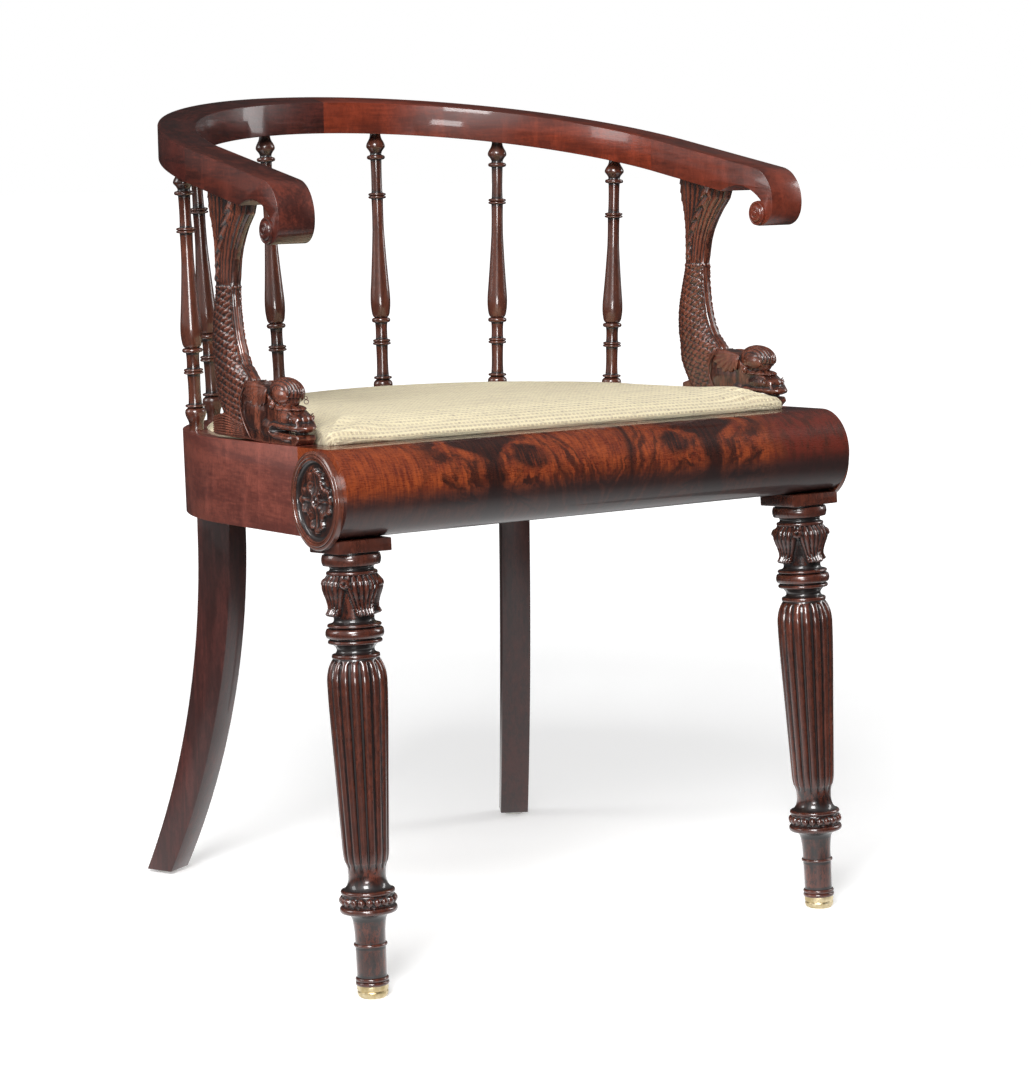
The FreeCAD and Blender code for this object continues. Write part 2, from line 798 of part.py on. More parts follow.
# Rounded masses of the head: middle along and up, then half sizes across, along and up
HEAD_MASS_SHARES = {
    "brow": (0.460, 0.825, 1.06, 0.315, 0.205),
    "muzzle": (0.700, 0.420, 0.94, 0.225, 0.150),
    "upper_lip": (0.880, 0.315, 1.05, 0.115, 0.075),
    "lower_lip": (0.860, 0.135, 1.03, 0.120, 0.070),
}
EYE_SHARES = (0.300, 0.620, 0.86, 0.036)
FIN_RIB_SHARES = (0.10, 0.26, 0.42, 0.58, 0.74, 0.90)
FIN_DRAW_SHARE = 0.72
FIN_GROOVE_SHARE = 0.78
FIN_START_SHARE = 1.08


def support_place(sign):
    return in_seat(sign * (rail_half - size("support_inset")), size("support_place"), rail_height)


def make_support(side, sign):
    """Carved dolphin: a swelling stem lofted up to the arm, and a head that rests on the rail."""
    body = new_body(f"dolphin_{side}_body")
    height = size("crest_rise") - size("crest_thickness") + size("support_crest_overlap")
    half = size("support_thickness") / 2
    sections = []
    for index, (along, up, depth, girth) in enumerate(STEM_SHARES):
        centre = along * height
        deep = depth * height
        wide = girth * half
        middle = sign * up * size("support_spread")
        flat = deep - wide * STEM_ROUND_SHARE
        path = Outline(middle + wide, centre - flat).line(middle + wide, centre + flat)
        path.arc(middle, centre + deep, middle - wide, centre + flat)
        path.line(middle - wide, centre - flat)
        path.arc(middle, centre - deep, middle + wide, centre - flat)
        sections.append(path.draw(body, f"stem_{side}_{index}", "XY_Plane", up * height))
    loft = body.newObject("PartDesign::AdditiveLoft", f"stem_{side}")
    loft.Profile = sections[0]
    loft.Sections = sections[1:]

    reach = size("support_head_length")
    tall = size("support_head_height")
    fin = size("support_fin_length")
    nape = [(y * fin, z * tall) for y, z in NAPE_SHARES]
    nape_top = NAPE_SHARES[1][1] * tall
    face = [(-y * reach, z * tall) for y, z in FACE_SHARES]
    head = Outline(*nape[0]).line(*nape[1]).line(*nape[2]).arc(*nape[3], *nape[4])
    for spot in face:
        head.line(*spot)
    head.line(*nape[0])
    pad(body, head, "YZ_Plane", f"head_{side}_pad", size("support_thickness"), symmetric=True)
    place = support_place(sign)
    body.Placement = place
    masses = [body]
    for mass, (along, up, across, long, high) in HEAD_MASS_SHARES.items():
        spot = place.multiply(placed(0, -along * reach, up * tall))
        masses.append(ellipsoid(f"{mass}_{side}", across * half, long * reach, high * tall, spot))
    along, up, out, eye_share = EYE_SHARES
    for hand in (-1, 1):
        spot = place.multiply(placed(hand * out * half, -along * reach, up * tall))
        eye = eye_share * reach
        masses.append(ellipsoid(f"dolphin_eye_{side}_{hand + 1}", eye, eye, eye, spot))
    carved = combine("Part::MultiFuse", f"dolphin_{side}_carved", *masses)

    grooves = []
    for index, share in enumerate(FIN_RIB_SHARES):
        rear = vector(0, fin * FIN_START_SHARE, share * nape_top)
        front = vector(0, 0, (share * FIN_DRAW_SHARE + (1 - FIN_DRAW_SHARE) / 2) * nape_top)
        run = front - rear
        tip = FreeCAD.Rotation(Z_AXIS, run)
        spot = place.multiply(placed(sign * half, rear.y, rear.z, tip))
        grooves.append(cylinder(f"fin_groove_{side}_{index}", size("fin_groove"),
                                FIN_GROOVE_SHARE * fin, spot))
    ribbed = cut_all(f"dolphin_{side}_ribbed", carved, grooves)
    return combine("Part::Cut", f"dolphin_{side}_whole", ribbed, crest_profile)


# Drop-in seat: a beech frame on the ledge, webbing over it and the cushion on top
seat_floor = rail_height - size("rebate_depth") + size("seat_rest_gap")
seat_inset = rail_wall + size("seat_clearance")
seat_front_edge = rail_back_plane - size("rail_ledge") + size("seat_clearance")
seat_top = seat_floor + size("seat_board")


def make_seat_board():
    body = new_body("seat_board_blank")
    inner = seat_inset + size("seat_rail_width")
    outer_path = rail_plan.outline(seat_front_edge, seat_inset)
    pad(body, outer_path, "XY_Plane", "seat_board_pad", size("seat_board"), lift=seat_floor)
    inner_path = rail_plan.outline(seat_front_edge + size("seat_rail_width"), inner)
    pocket(body, inner_path, "XY_Plane", "seat_board_hole", size("seat_board"), lift=seat_top)
    body.Placement = seat_frame
    return body


def seat_part(name, board, x, y, length, width):
    return combine("Part::Common", name + "_whole", board,
                   box(name + "_room", length, width, rail_height, in_seat(x, y, 0)))


def make_webbing():
    """Two layers of flat straps, side to side under front to back."""
    half = rail_half - seat_inset
    straps = []
    web = size("web_width")
    thick = size("web_thickness")
    depth = rail_plan.back - seat_inset - seat_front_edge
    for index, share in enumerate(WEB_ACROSS_SHARES):
        y = seat_front_edge + share * depth - web / 2
        straps.append(box(f"web_across_{index}", half * 2, web, thick, in_seat(-half, y, seat_top)))
    for index, share in enumerate(WEB_ALONG_SHARES):
        x = share * half - web / 2
        straps.append(box(f"web_along_{index}", web, depth, thick,
                          in_seat(x, seat_front_edge, seat_top + thick)))
    plate = new_body("web_limit")
    trim = size("web_trim")
    path = rail_plan.outline(seat_front_edge + trim, seat_inset + trim)
    pad(plate, path, "XY_Plane", "web_limit_pad", rail_height, lift=seat_floor)
    plate.Placement = seat_frame
    layers = combine("Part::MultiFuse", "web_layers", *straps)
    return combine("Part::Common", "webbing_whole", layers, plate)


WEB_ACROSS_SHARES = (0.16, 0.38, 0.60, 0.82)
WEB_ALONG_SHARES = (-0.62, -0.31, 0.0, 0.31, 0.62)


# Cushion: how far in and how far up its skin is, as shares of its round and its height
CUSHION_SHARES = (
    (0.08, 0.00), (0.00, 0.06), (0.00, 0.16), (0.14, 0.36), (0.50, 0.54), (1.20, 0.70),
    (2.30, 0.85), (3.90, 0.95), (5.80, 1.00),
)


def make_cushion():
    """Stuffed pad: a short upright edge, a rounded shoulder and a domed crown."""
    body = new_body("cushion_body")
    low = seat_top + 2 * size("web_thickness") + size("seat_rest_gap")
    height = size("cushion_height")
    round_in = size("cushion_round")
    sections = []
    for index, (inward, upward) in enumerate(CUSHION_SHARES):
        inset = inward * round_in
        path = rail_plan.outline(seat_front_edge + inset, seat_inset + inset)
        sections.append(path.draw(body, f"cushion_{index}", "XY_Plane", low + upward * height))
    loft = body.newObject("PartDesign::AdditiveLoft", "cushion_loft")
    loft.Profile = sections[0]
    loft.Sections = sections[1:]
    loft.Ruled = True
    body.Placement = seat_frame
    return body


def make_corner_block(side, sign):
    """Three-cornered glue block in the angle of front rail and side rail."""
    body = new_body(f"corner_block_{side}_body")
    leg = size("corner_block_leg")
    x = rail_half - rail_width
    path = Outline(sign * x, rail_back_plane).line(sign * (x - leg), rail_back_plane)
    path.line(sign * x, rail_back_plane + leg).line(sign * x, rail_back_plane)
    drop = size("corner_block_drop")
    height = rail_height - size("rebate_depth") - size("corner_block_gap") - drop
    pad(body, path, "XY_Plane", f"corner_block_{side}_pad", height, lift=drop)
    body.Placement = seat_frame
    return body


# Roundel: radius and height shares of its rim beads, sunk field and centre button
ROUNDEL_SHARES = (
    (1.00, 0.70), (0.96, 1.00), (0.90, 0.80), (0.85, 0.95), (0.80, 0.60), (0.72, 0.35),
    (0.16, 0.35), (0.14, 0.85), (0.08, 1.00),
)
# Leaves of the roundel: half length, half width and half height as shares of its radius
PETAL_SHARES = (0.33, 0.20, 0.055)
PETAL_LIFT_SHARE = 0.38
PETAL_COUNT = 4


def make_roundel(side, sign):
    """Turned disc with a moulded rim, a sunk field and a raised centre."""
    body = new_body(f"roundel_{side}_body")
    radius = size("roundel_radius")
    thick = size("roundel_thickness")
    rim = [(r * radius, z * thick) for r, z in ROUNDEL_SHARES]
    profile = Outline(0, 0).line(radius, 0).line(*rim[0])
    profile.arc(*rim[1], *rim[2]).arc(*rim[3], *rim[4]).line(*rim[5]).line(*rim[6])
    profile.arc(*rim[7], *rim[8]).line(0, thick).line(0, 0)
    revolve(body, profile, f"roundel_{side}_turned")
    x = sign * (rail_half + size("roundel_seat_gap"))
    place = in_seat(x, 0, size("roundel_height"), turned_about(Y_AXIS, sign * 90))
    body.Placement = place
    reach, wide, high = [share * radius for share in PETAL_SHARES]
    petals = []
    for index in range(PETAL_COUNT):
        turn = turned_about(Z_AXIS, 360 * (index + 0.5) / PETAL_COUNT)
        spot = place.multiply(placed(0, 0, 0, turn)).multiply(placed(reach, 0, thick * PETAL_LIFT_SHARE))
        petals.append(ellipsoid(f"petal_{side}_{index}", reach, wide, high, spot))
    return combine("Part::MultiFuse", f"roundel_{side}_whole", body, *petals)


# Build the chair
RAIL_JOINT_SHARE = 0.62
BOARD_JOINT_SHARE = 1.6
crest_profile = make_crest_profile("crest_profile")
seat_reach = rail_plan.back * 2
above_seat = box("above_seat", seat_reach, seat_reach, rail_height * 3,
                 in_seat(-seat_reach / 2, -seat_reach / 2, 0))
below_floor = box("below_floor", seat_reach, seat_reach, overrun,
                  placed(-seat_reach / 2, -seat_reach / 2, -overrun))
spindles = [Spindle(number, share) for number, share in enumerate(SPINDLE_FAN_SHARES, start=1)]

front_mortises = [front_tenon(side, f"front_mortise_{side}", fit) for side, sign in SIDES]
node("front_rail", cut_all("front_rail_whole", make_front_rail_blank(), front_mortises))

ring = make_ring_blank()
ring_cuts = [spindle.socket("foot") for spindle in spindles]
ring_cuts += [rear_tenon(side, f"rear_mortise_{side}", fit) for side, sign in SIDES]
bored_ring = cut_all("rail_ring_bored", ring, ring_cuts)
joint_y = rail_plan.back_centre + rail_plan.back_radius * RAIL_JOINT_SHARE
for side, sign in SIDES:
    wide = rail_half + overrun
    x = 0 if sign > 0 else -wide
    room = box(f"side_rail_{side}_room", wide, joint_y, rail_height, in_seat(x, 0, 0))
    node(f"side_rail_{side}", combine("Part::Common", f"side_rail_{side}_whole", bored_ring, room))
back_wide = (rail_half + overrun) * 2
back_room = box("back_rail_room", back_wide, rail_plan.back, rail_height,
                in_seat(-back_wide / 2, joint_y, 0))
node("back_rail", combine("Part::Common", "back_rail_whole", bored_ring, back_room))

crest_blank = combine("Part::Common", "crest_blank", make_crest_plan_blank(), crest_profile)
bored_crest = cut_all("crest_bored", crest_blank, [s.socket("head") for s in spindles])
for side, sign in SIDES:
    rear = half_space(f"crest_{side}_room", side, sign, True)
    node(f"crest_{side}", combine("Part::Common", f"crest_{side}_whole", bored_crest, rear))
    fore = half_space(f"arm_{side}_room", side, sign, False)
    arm = combine("Part::Common", f"arm_{side}_plain", bored_crest, fore)
    eyes = [eye_boss(side, sign, face) for face in ("outer", "inner")]
    node(f"arm_{side}", combine("Part::MultiFuse", f"arm_{side}_whole", arm, *eyes))

for side, sign in SIDES:
    node(f"front_leg_{side}", make_front_leg(side, sign))
    node(f"front_cap_{side}", make_front_cap(side))
    node(f"rear_leg_{side}", make_rear_leg(side, sign))
    node(f"rear_glide_{side}", make_glide(side))
    node(f"roundel_{side}", make_roundel(side, sign))
    node(f"corner_block_{side}", make_corner_block(side, sign))
    node(f"dolphin_{side}", make_support(side, sign))

for spindle in spindles:
    node(f"spindle_{spindle.number}", spindle.make())

board = make_seat_board()
board_half = rail_half
rail_run = seat_front_edge + size("seat_rail_width")
board_back = rail_plan.back - seat_inset - size("seat_rail_width") * BOARD_JOINT_SHARE
node("seat_board_front", seat_part("seat_board_front", board, -board_half, seat_front_edge,
                                   board_half * 2, size("seat_rail_width")))
node("seat_board_left", seat_part("seat_board_left", board, -board_half, rail_run,
                                  board_half, board_back - rail_run))
node("seat_board_right", seat_part("seat_board_right", board, 0, rail_run,
                                   board_half, board_back - rail_run))
node("seat_board_back", seat_part("seat_board_back", board, -board_half, board_back,
                                  board_half * 2, rail_plan.back))
node("webbing", make_webbing())
node("cushion", make_cushion())

doc.recompute()


def faults():
    found = [f"{thing.Name} {thing.State}" for thing in doc.Objects
             if "Invalid" in thing.State or "Error" in thing.State]
    for name, thing in nodes.items():
        if thing.Shape.isNull() or not thing.Shape.isValid() or not thing.Shape.Solids:
            found.append(f"{name} has no valid solid")
    return found


problems = faults()
if problems:
    raise RuntimeError("; ".join(problems))

os.makedirs("parts", exist_ok=True)
for name, thing in nodes.items():
    thing.Shape.exportStep(f"parts/{name}.step")
    print(name, len(thing.Shape.Solids), round(thing.Shape.Volume))
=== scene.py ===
import bmesh
import bpy
import numpy as np
from bmesh import ops
from math import atan2, copysign, cos, degrees, exp, floor, hypot, pi, radians, sin, sqrt, tan, tau
from mathutils import Matrix, Vector
from mathutils.kdtree import KDTree


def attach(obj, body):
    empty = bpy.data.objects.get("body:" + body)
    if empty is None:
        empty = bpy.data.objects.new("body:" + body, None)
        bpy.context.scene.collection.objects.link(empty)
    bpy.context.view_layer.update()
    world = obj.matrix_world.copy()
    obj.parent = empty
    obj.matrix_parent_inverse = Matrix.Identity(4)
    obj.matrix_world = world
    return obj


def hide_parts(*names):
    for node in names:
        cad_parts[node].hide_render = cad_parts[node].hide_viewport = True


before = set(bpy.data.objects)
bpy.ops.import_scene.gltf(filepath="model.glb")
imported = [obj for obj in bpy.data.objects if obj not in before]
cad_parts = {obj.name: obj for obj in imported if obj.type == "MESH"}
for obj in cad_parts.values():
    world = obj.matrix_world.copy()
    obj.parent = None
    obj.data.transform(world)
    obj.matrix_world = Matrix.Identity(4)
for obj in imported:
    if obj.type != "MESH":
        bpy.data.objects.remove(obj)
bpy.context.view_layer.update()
scene = bpy.context.scene

# Pieces are shaped in millimetres in the chair's own frame, and become metres when finished
TO_METRES = Matrix.Scale(0.001, 4)
TO_MILLIMETRES = Matrix.Scale(1000, 4)
SIDES = (("left", -1), ("right", 1))
# Rounds of smoothing, and the height in metres that then counts as a full hollow
CARVED = {5: 0.0002, 24: 0.0011}
TURNED = {3: 0.0002, 10: 0.0007}


def shift(x, y, z):
    return Matrix.Translation((x, y, z))


def turn(angle, axis):
    return Matrix.Rotation(radians(angle), 4, axis)


def aim(start, end):
    """A frame at the start whose Z axis runs to the end."""
    along = Vector(end) - Vector(start)
    return shift(*start) @ along.to_track_quat("Z", "Y").to_matrix().to_4x4()


def steps(low, high, count):
    return [low + (high - low) * index / (count - 1) for index in range(count)]


def between(table, place):
    """Read a table of (place, value, ...) rows at a place, in straight lines between rows."""
    for first, last in zip(table, table[1:]):
        if place <= last[0]:
            share = max(0, (place - first[0]) / (last[0] - first[0]))
            return [a + (b - a) * share for a, b in zip(first[1:], last[1:])]
    return list(table[-1][1:])


def eased(low, high, place):
    share = min(1, max(0, (place - low) / (high - low)))
    return share * share * (3 - 2 * share)


def put(name, data):
    """A new object in the scene."""
    made = bpy.data.objects.new(name, data)
    scene.collection.objects.link(made)
    return made


def applied(piece):
    """A piece's mesh with its modifiers worked in."""
    return bpy.data.meshes.new_from_object(
        piece.evaluated_get(bpy.context.evaluated_depsgraph_get()))


def even_skin(piece, voxel):
    """A piece's mesh drawn again in small even faces."""
    remesh = piece.modifiers.new("even", "REMESH")
    remesh.mode = "VOXEL"
    remesh.voxel_size = voxel
    return applied(piece)


SEAT = shift(0, -219, 385) @ turn(-2, "X")
CREST = shift(0, -13.7, 703.7) @ turn(9.82, "X")


# Camera and light

CAMERA_SPOT = (-1.3618, -2.2528, 0.7184)
AROUND, ABOVE, ROLL = -32.416, 8.134, -0.851


def place_camera():
    lens = bpy.data.cameras.new("camera")
    lens.lens = 95.526
    lens.sensor_fit = "VERTICAL"
    lens.sensor_height = 36
    camera = put("camera", lens)
    scene.camera = camera
    camera.matrix_world = (shift(*CAMERA_SPOT) @ turn(AROUND, "Z") @ turn(90 - ABOVE, "X")
                           @ turn(ROLL, "Z"))


def soft_box(name, spot, target, width, height, power):
    """A plain studio light that faces the chair."""
    lamp = bpy.data.lights.new(name, "AREA")
    lamp.shape = "RECTANGLE"
    lamp.size = width
    lamp.size_y = height
    lamp.energy = power
    light = put(name, lamp)
    facing = (Vector(spot) - Vector(target)).to_track_quat("Z", "Y").to_matrix().to_4x4()
    light.matrix_world = shift(*spot) @ facing
    return light


# Finishes

def both_ways(operation):
    """An operator on a shade and another value, and the same with the shade on the right."""
    return (lambda shade, other: shade.look.sum(operation, shade, other),
            lambda shade, other: shade.look.sum(operation, other, shade))


class Shade:
    """One number that changes over a surface, ready for sums."""

    def __init__(self, look, socket):
        self.look = look
        self.socket = socket

    __add__, __radd__ = both_ways("ADD")
    __sub__, __rsub__ = both_ways("SUBTRACT")
    __mul__, __rmul__ = both_ways("MULTIPLY")
    __truediv__, __rtruediv__ = both_ways("DIVIDE")

    def __abs__(self):
        return self.look.sum("ABSOLUTE", self)


class Look:
    """A finish: a material with its nodes, and one method that adds each of them."""

    def __init__(self, name):
        self.material = bpy.data.materials.new(name)
        self.material.use_nodes = True
        self.tree = self.material.node_tree
        self.shader = self.tree.nodes["Principled BSDF"]

    def add(self, kind, settings=None, sockets=None, output=0):
        made = self.tree.nodes.new("ShaderNode" + kind)
        for name, value in (settings or {}).items():
            setattr(made, name, value)
        self.feed(made, sockets or {})
        return Shade(self, made.outputs[output])

    def feed(self, node, sockets):
        for name, value in sockets.items():
            if isinstance(value, Shade):
                self.tree.links.new(value.socket, node.inputs[name])
            else:
                node.inputs[name].default_value = value

    def sum(self, operation, *values):
        return self.add("Math", {"operation": operation}, dict(enumerate(values)))

    def place(self, stretch=(1, 1, 1), seed=0, spot=None):
        spot = spot or self.add("TexCoord", output="Object")
        return self.add("Mapping", sockets={"Vector": spot, "Scale": stretch,
                                            "Location": (seed, seed, seed)})

    def parts(self, spot=None):
        spot = spot or self.add("TexCoord", output="Object")
        split = self.add("SeparateXYZ", sockets={0: spot})
        node = split.socket.node
        return [Shade(self, node.outputs[index]) for index in range(3)]

    def joined(self, x, y, z):
        return self.add("CombineXYZ", sockets={0: x, 1: y, 2: z})

    def noise(self, spot, scale, detail=3, roughness=0.5, distortion=0):
        spot = self.joined(*spot) if isinstance(spot, tuple) else spot
        return self.add("TexNoise", sockets={"Vector": spot, "Scale": scale, "Detail": detail,
                                             "Roughness": roughness, "Distortion": distortion})

    def grain(self, stretch, *settings):
        """Noise that follows the piece itself."""
        return self.noise(self.place(stretch), *settings)

    def span(self, value, low, high):
        """Nought below the low value, one above the high one, and eased between."""
        return self.add("MapRange", {"interpolation_type": "SMOOTHSTEP"},
                        {0: value, 1: low, 2: high})

    def sine(self, value):
        return self.sum("SINE", value)

    def reach(self, x, y):
        return self.sum("SQRT", x * x + y * y)

    def mix(self, share, first, second):
        first, second = [(*c, 1) if isinstance(c, tuple) else c for c in (first, second)]
        return self.add("Mix", {"data_type": "RGBA"}, {0: share, 6: first, 7: second}, output=2)

    def bump(self, height, depth, strength=1):
        return self.add("Bump", sockets={"Height": height, "Distance": depth,
                                         "Strength": strength})

    def finish(self, colour, roughness, normal, **fixed):
        """Fixed values go by their socket's name, such as coat_weight."""
        fixed = {name.replace("_", " ").title(): value for name, value in fixed.items()}
        self.feed(self.shader, {"Base Color": colour, "Roughness": roughness, "Normal": normal,
                                **fixed})
        return self.material


# How far the grain is drawn out along x, y and z, or across, round and up on a bent rail
UPRIGHT = (1, 1, 0.07)
FORE_AND_AFT = (1, 0.14, 1)
ROUND_THE_BACK = (0.1, 1, 1)


def tint(colour, times, plus=0):
    return tuple(c * times + plus for c in colour)


def mahogany(name, light, dark, stretch=UPRIGHT, gloss=0.3, figure=16, coat=0.5, seed=0,
             mottle=0.12):
    """French-polished mahogany, its grain along the piece or round a bent rail."""
    look = Look(f"{name}_mahogany")
    spot = None
    if stretch == ROUND_THE_BACK:
        x, y, z = look.parts()
        spot = look.joined(look.sum("ARCTAN2", x, y) * 0.25, look.reach(x, y), z)
    spot = look.place(stretch, seed, spot)
    broad = look.noise(spot, figure, 4, 0.55, 0.6)
    streak = look.noise(spot, figure * 14, 3, 0.6, 0.2)
    pores = look.noise(spot, figure * 70, 2, 0.7)
    cloud = look.grain((1, 1, 1), 9, 3, 0.5)
    fleck = look.grain((1, 1, 0.6), 210, 3, 0.65)
    tone = look.span(broad * (0.7 - mottle) + streak * 0.3 + fleck * mottle, 0.42, 0.585)
    wood = look.mix(tone, dark, light)
    patch = look.span(look.grain((1, 1, 0.3), 42, 4, 0.6), 0.5, 0.68)
    wood = look.mix(patch * mottle * 1.9, wood, tint(light, 2.3, 0.008))
    speck = look.span(look.grain((1, 1, 0.4), 460, 3, 0.7), 0.5, 0.6)
    wood = look.mix(speck * mottle * 1.9, wood, tint(dark, 0.5))
    pore = look.span(pores, 0.56, 0.72)
    wood = look.mix(pore * 0.5, wood, tint(dark, 0.35))
    wood = look.mix(look.span(cloud, 0.42, 0.7) * 0.4, wood, tint(dark, 0.6))
    hollow = look.add("Attribute", {"attribute_name": "hollow"}, output="Fac")
    sunk_polish_and_shade = look.span(hollow, 0.02, 0.6)
    proud_wear_and_highlight = look.span(0 - hollow, 0.15, 0.9)
    # Hollows darken nearly to black: partly old polish collected there, partly painted shade where
    # light does not reach.
    wood = look.mix(sunk_polish_and_shade * 0.93, wood, (0.008, 0.004, 0.004))
    # Raised parts lighter: rubbed wear on the polish, partly a painted highlight on the ridges.
    wood = look.mix(proud_wear_and_highlight * 0.4, wood, tint(light, 1.5, 0.01))
    rough = gloss + 0.14 * streak + 0.18 * look.span(cloud, 0.45, 0.75) + sunk_polish_and_shade * 0.22
    normal = look.bump(pores * 0.6 + streak * 0.5, 0.00012, 0.6)
    return look.finish(wood, rough, normal, coat_weight=coat, coat_roughness=0.08)


def flame_veneer():
    """Crotch veneer on the round-nosed rail, in two mirrored leaves, drawn in centimetres."""
    look = Look("flame_veneer")
    x, y, z = look.parts()
    along = x * 100 + 0.4
    high = look.sum("ARCTAN2", z - 0.4225, 0 - (y + 0.229)) * 3.75
    flat = look.joined(along, high, 0)
    drift = look.noise(flat, 0.3, 3, 0.6) - 0.5
    ragged = look.noise((along, high * 0.5, 4), 1.3, 4, 0.7) - 0.5
    comb = look.noise((along * 4, high * 0.35, 9), 1.3, 4, 0.65) - 0.5
    out = abs(along) + drift * 2.6 + ragged * 1.2 + comb * 0.7
    rise = high + drift * 1.6 + ragged * 1.1

    def band(place, middle, half, soft):
        return look.span(abs(place - middle), half + soft, half - soft)

    def plume(hub_out, hub_high, rays, seed):
        across, above = out - hub_out, rise - hub_high
        angle = look.sum("ARCTAN2", across, above)
        reach = look.reach(across, above)
        return look.noise((angle * rays, reach * 0.42, seed), 1, 4, 0.65, 0.4)

    dark = band(out, 11.4, 1 + look.span(rise, 2.6, 4.6) * 2.2, 0.45)
    knot_out, knot_high = (out - 7.5) * 0.8, rise - 2.6
    knot = look.span(look.reach(knot_out, knot_high), 1.6, 0.9)
    knot = knot * look.span(comb, -0.22, 0.02)
    arc = band(out - (rise - 1.8) * (rise - 1.8) * 0.07, 18.2, 0.12, 0.3) * 0.6
    spear = band(along - (high - 2) * 0.13 + ragged * 0.7, 2.7, 0.35, 0.4)
    feather = look.span(plume(12.9, -1.4, 2.2, 0.4), 0.43, 0.6) * band(out, 15, 2.6, 1)
    fan = look.span(plume(9.9, -0.6, 2.3, 1.7), 0.43, 0.6) * band(out, 8.6, 2.2, 0.8)
    low = look.span(high, 3, 0)
    threads = look.noise(((out - rise * 0.35) * 1.5, high * 0.12, 3), 1, 4, 0.6)
    combed = look.span(threads + low * 0.1, 0.5, 0.66) * look.span(out, 7.4, 5.2) * 0.8
    for part in (knot, arc, spear, feather * 0.92, fan * 0.92, combed):
        dark = look.sum("MAXIMUM", dark, part)
    dark = dark * (0.78 + look.span(comb, -0.2, 0.15) * 0.22)
    fine = look.noise((along * 0.9, high * 5, 0.7), 2.2, 4, 0.7)
    glow = look.span(fine * 0.55 + comb * 0.75 + ragged * 0.5 + 0.22, 0.28, 0.72)
    wood = look.mix(glow, (0.11, 0.016, 0.007), (0.315, 0.06, 0.014))
    end = look.span(along, 16.8, 20)
    smudge = look.span(ragged + comb * 0.6, -0.12, 0.16)
    plain = look.mix(smudge, (0.125, 0.017, 0.01), (0.028, 0.008, 0.007))
    wood = look.mix(end * 0.85, wood, plain)
    wood = look.mix(dark * 0.97, wood, (0.009, 0.004, 0.004))
    pores = look.noise((along * 0.7, high * 3, 0.1), 9, 2, 0.7)
    wood = look.mix(look.span(pores, 0.54, 0.72) * 0.5, wood, (0.03, 0.008, 0.006))
    # Painted shade: the veneer darkens towards the underside of the rounded rail, where it faces
    # down.
    under = look.span(high + ragged * 0.6, 0.9, -0.9)
    wood = look.mix(under * 0.85, wood, (0.02, 0.009, 0.009))
    rough = 0.22 + fine * 0.12 + under * 0.2
    normal = look.bump(fine * 0.4 + pores * 0.6, 0.0001, 0.5)
    return look.finish(wood, rough, normal, coat_weight=0.5, coat_roughness=0.1)


def beech_finish():
    look = Look("bare_beech")
    grain = look.grain((0.08, 1, 1), 120, 4, 0.6)
    flecks = look.span(look.grain((1, 4, 1), 260, 2), 0.6, 0.7)
    wood = look.mix(grain, (0.44, 0.3, 0.17), (0.66, 0.5, 0.32))
    wood = look.mix(flecks * 0.5, wood, (0.34, 0.21, 0.11))
    return look.finish(wood, 0.62 + grain * 0.15, look.bump(grain, 0.0002))


def brass_finish():
    look = Look("worn_brass")
    cloud = look.grain((1, 1, 1), 90, 4, 0.6)
    lines = look.grain((1, 1, 22), 160, 3)
    metal = look.mix(look.span(cloud, 0.35, 0.7), (0.52, 0.4, 0.2), (0.92, 0.8, 0.55))
    rough = 0.24 + cloud * 0.28
    return look.finish(metal, rough, look.bump(lines + cloud, 0.0001), metallic=1)


def steel_finish():
    look = Look("dull_steel")
    cloud = look.grain((1, 1, 1), 140, 4, 0.6)
    metal = look.mix(cloud, (0.34, 0.33, 0.31), (0.6, 0.59, 0.56))
    return look.finish(metal, 0.35 + cloud * 0.25, look.bump(cloud, 0.0001), metallic=1)


def jute_finish():
    look = Look("jute_web")
    x, y, z = look.parts()
    warp = look.sine(x * 2600)
    weft = look.sine(y * 2600)
    weave = warp * weft * 0.5 + 0.5
    fuzz = look.grain((1, 1, 1), 700, 3, 0.7)
    cloth = look.mix(weave * 0.6 + fuzz * 0.4, (0.3, 0.22, 0.12), (0.6, 0.49, 0.31))
    return look.finish(cloth, 0.85 + fuzz * 0.1, look.bump(weave + fuzz * 0.5, 0.0005))


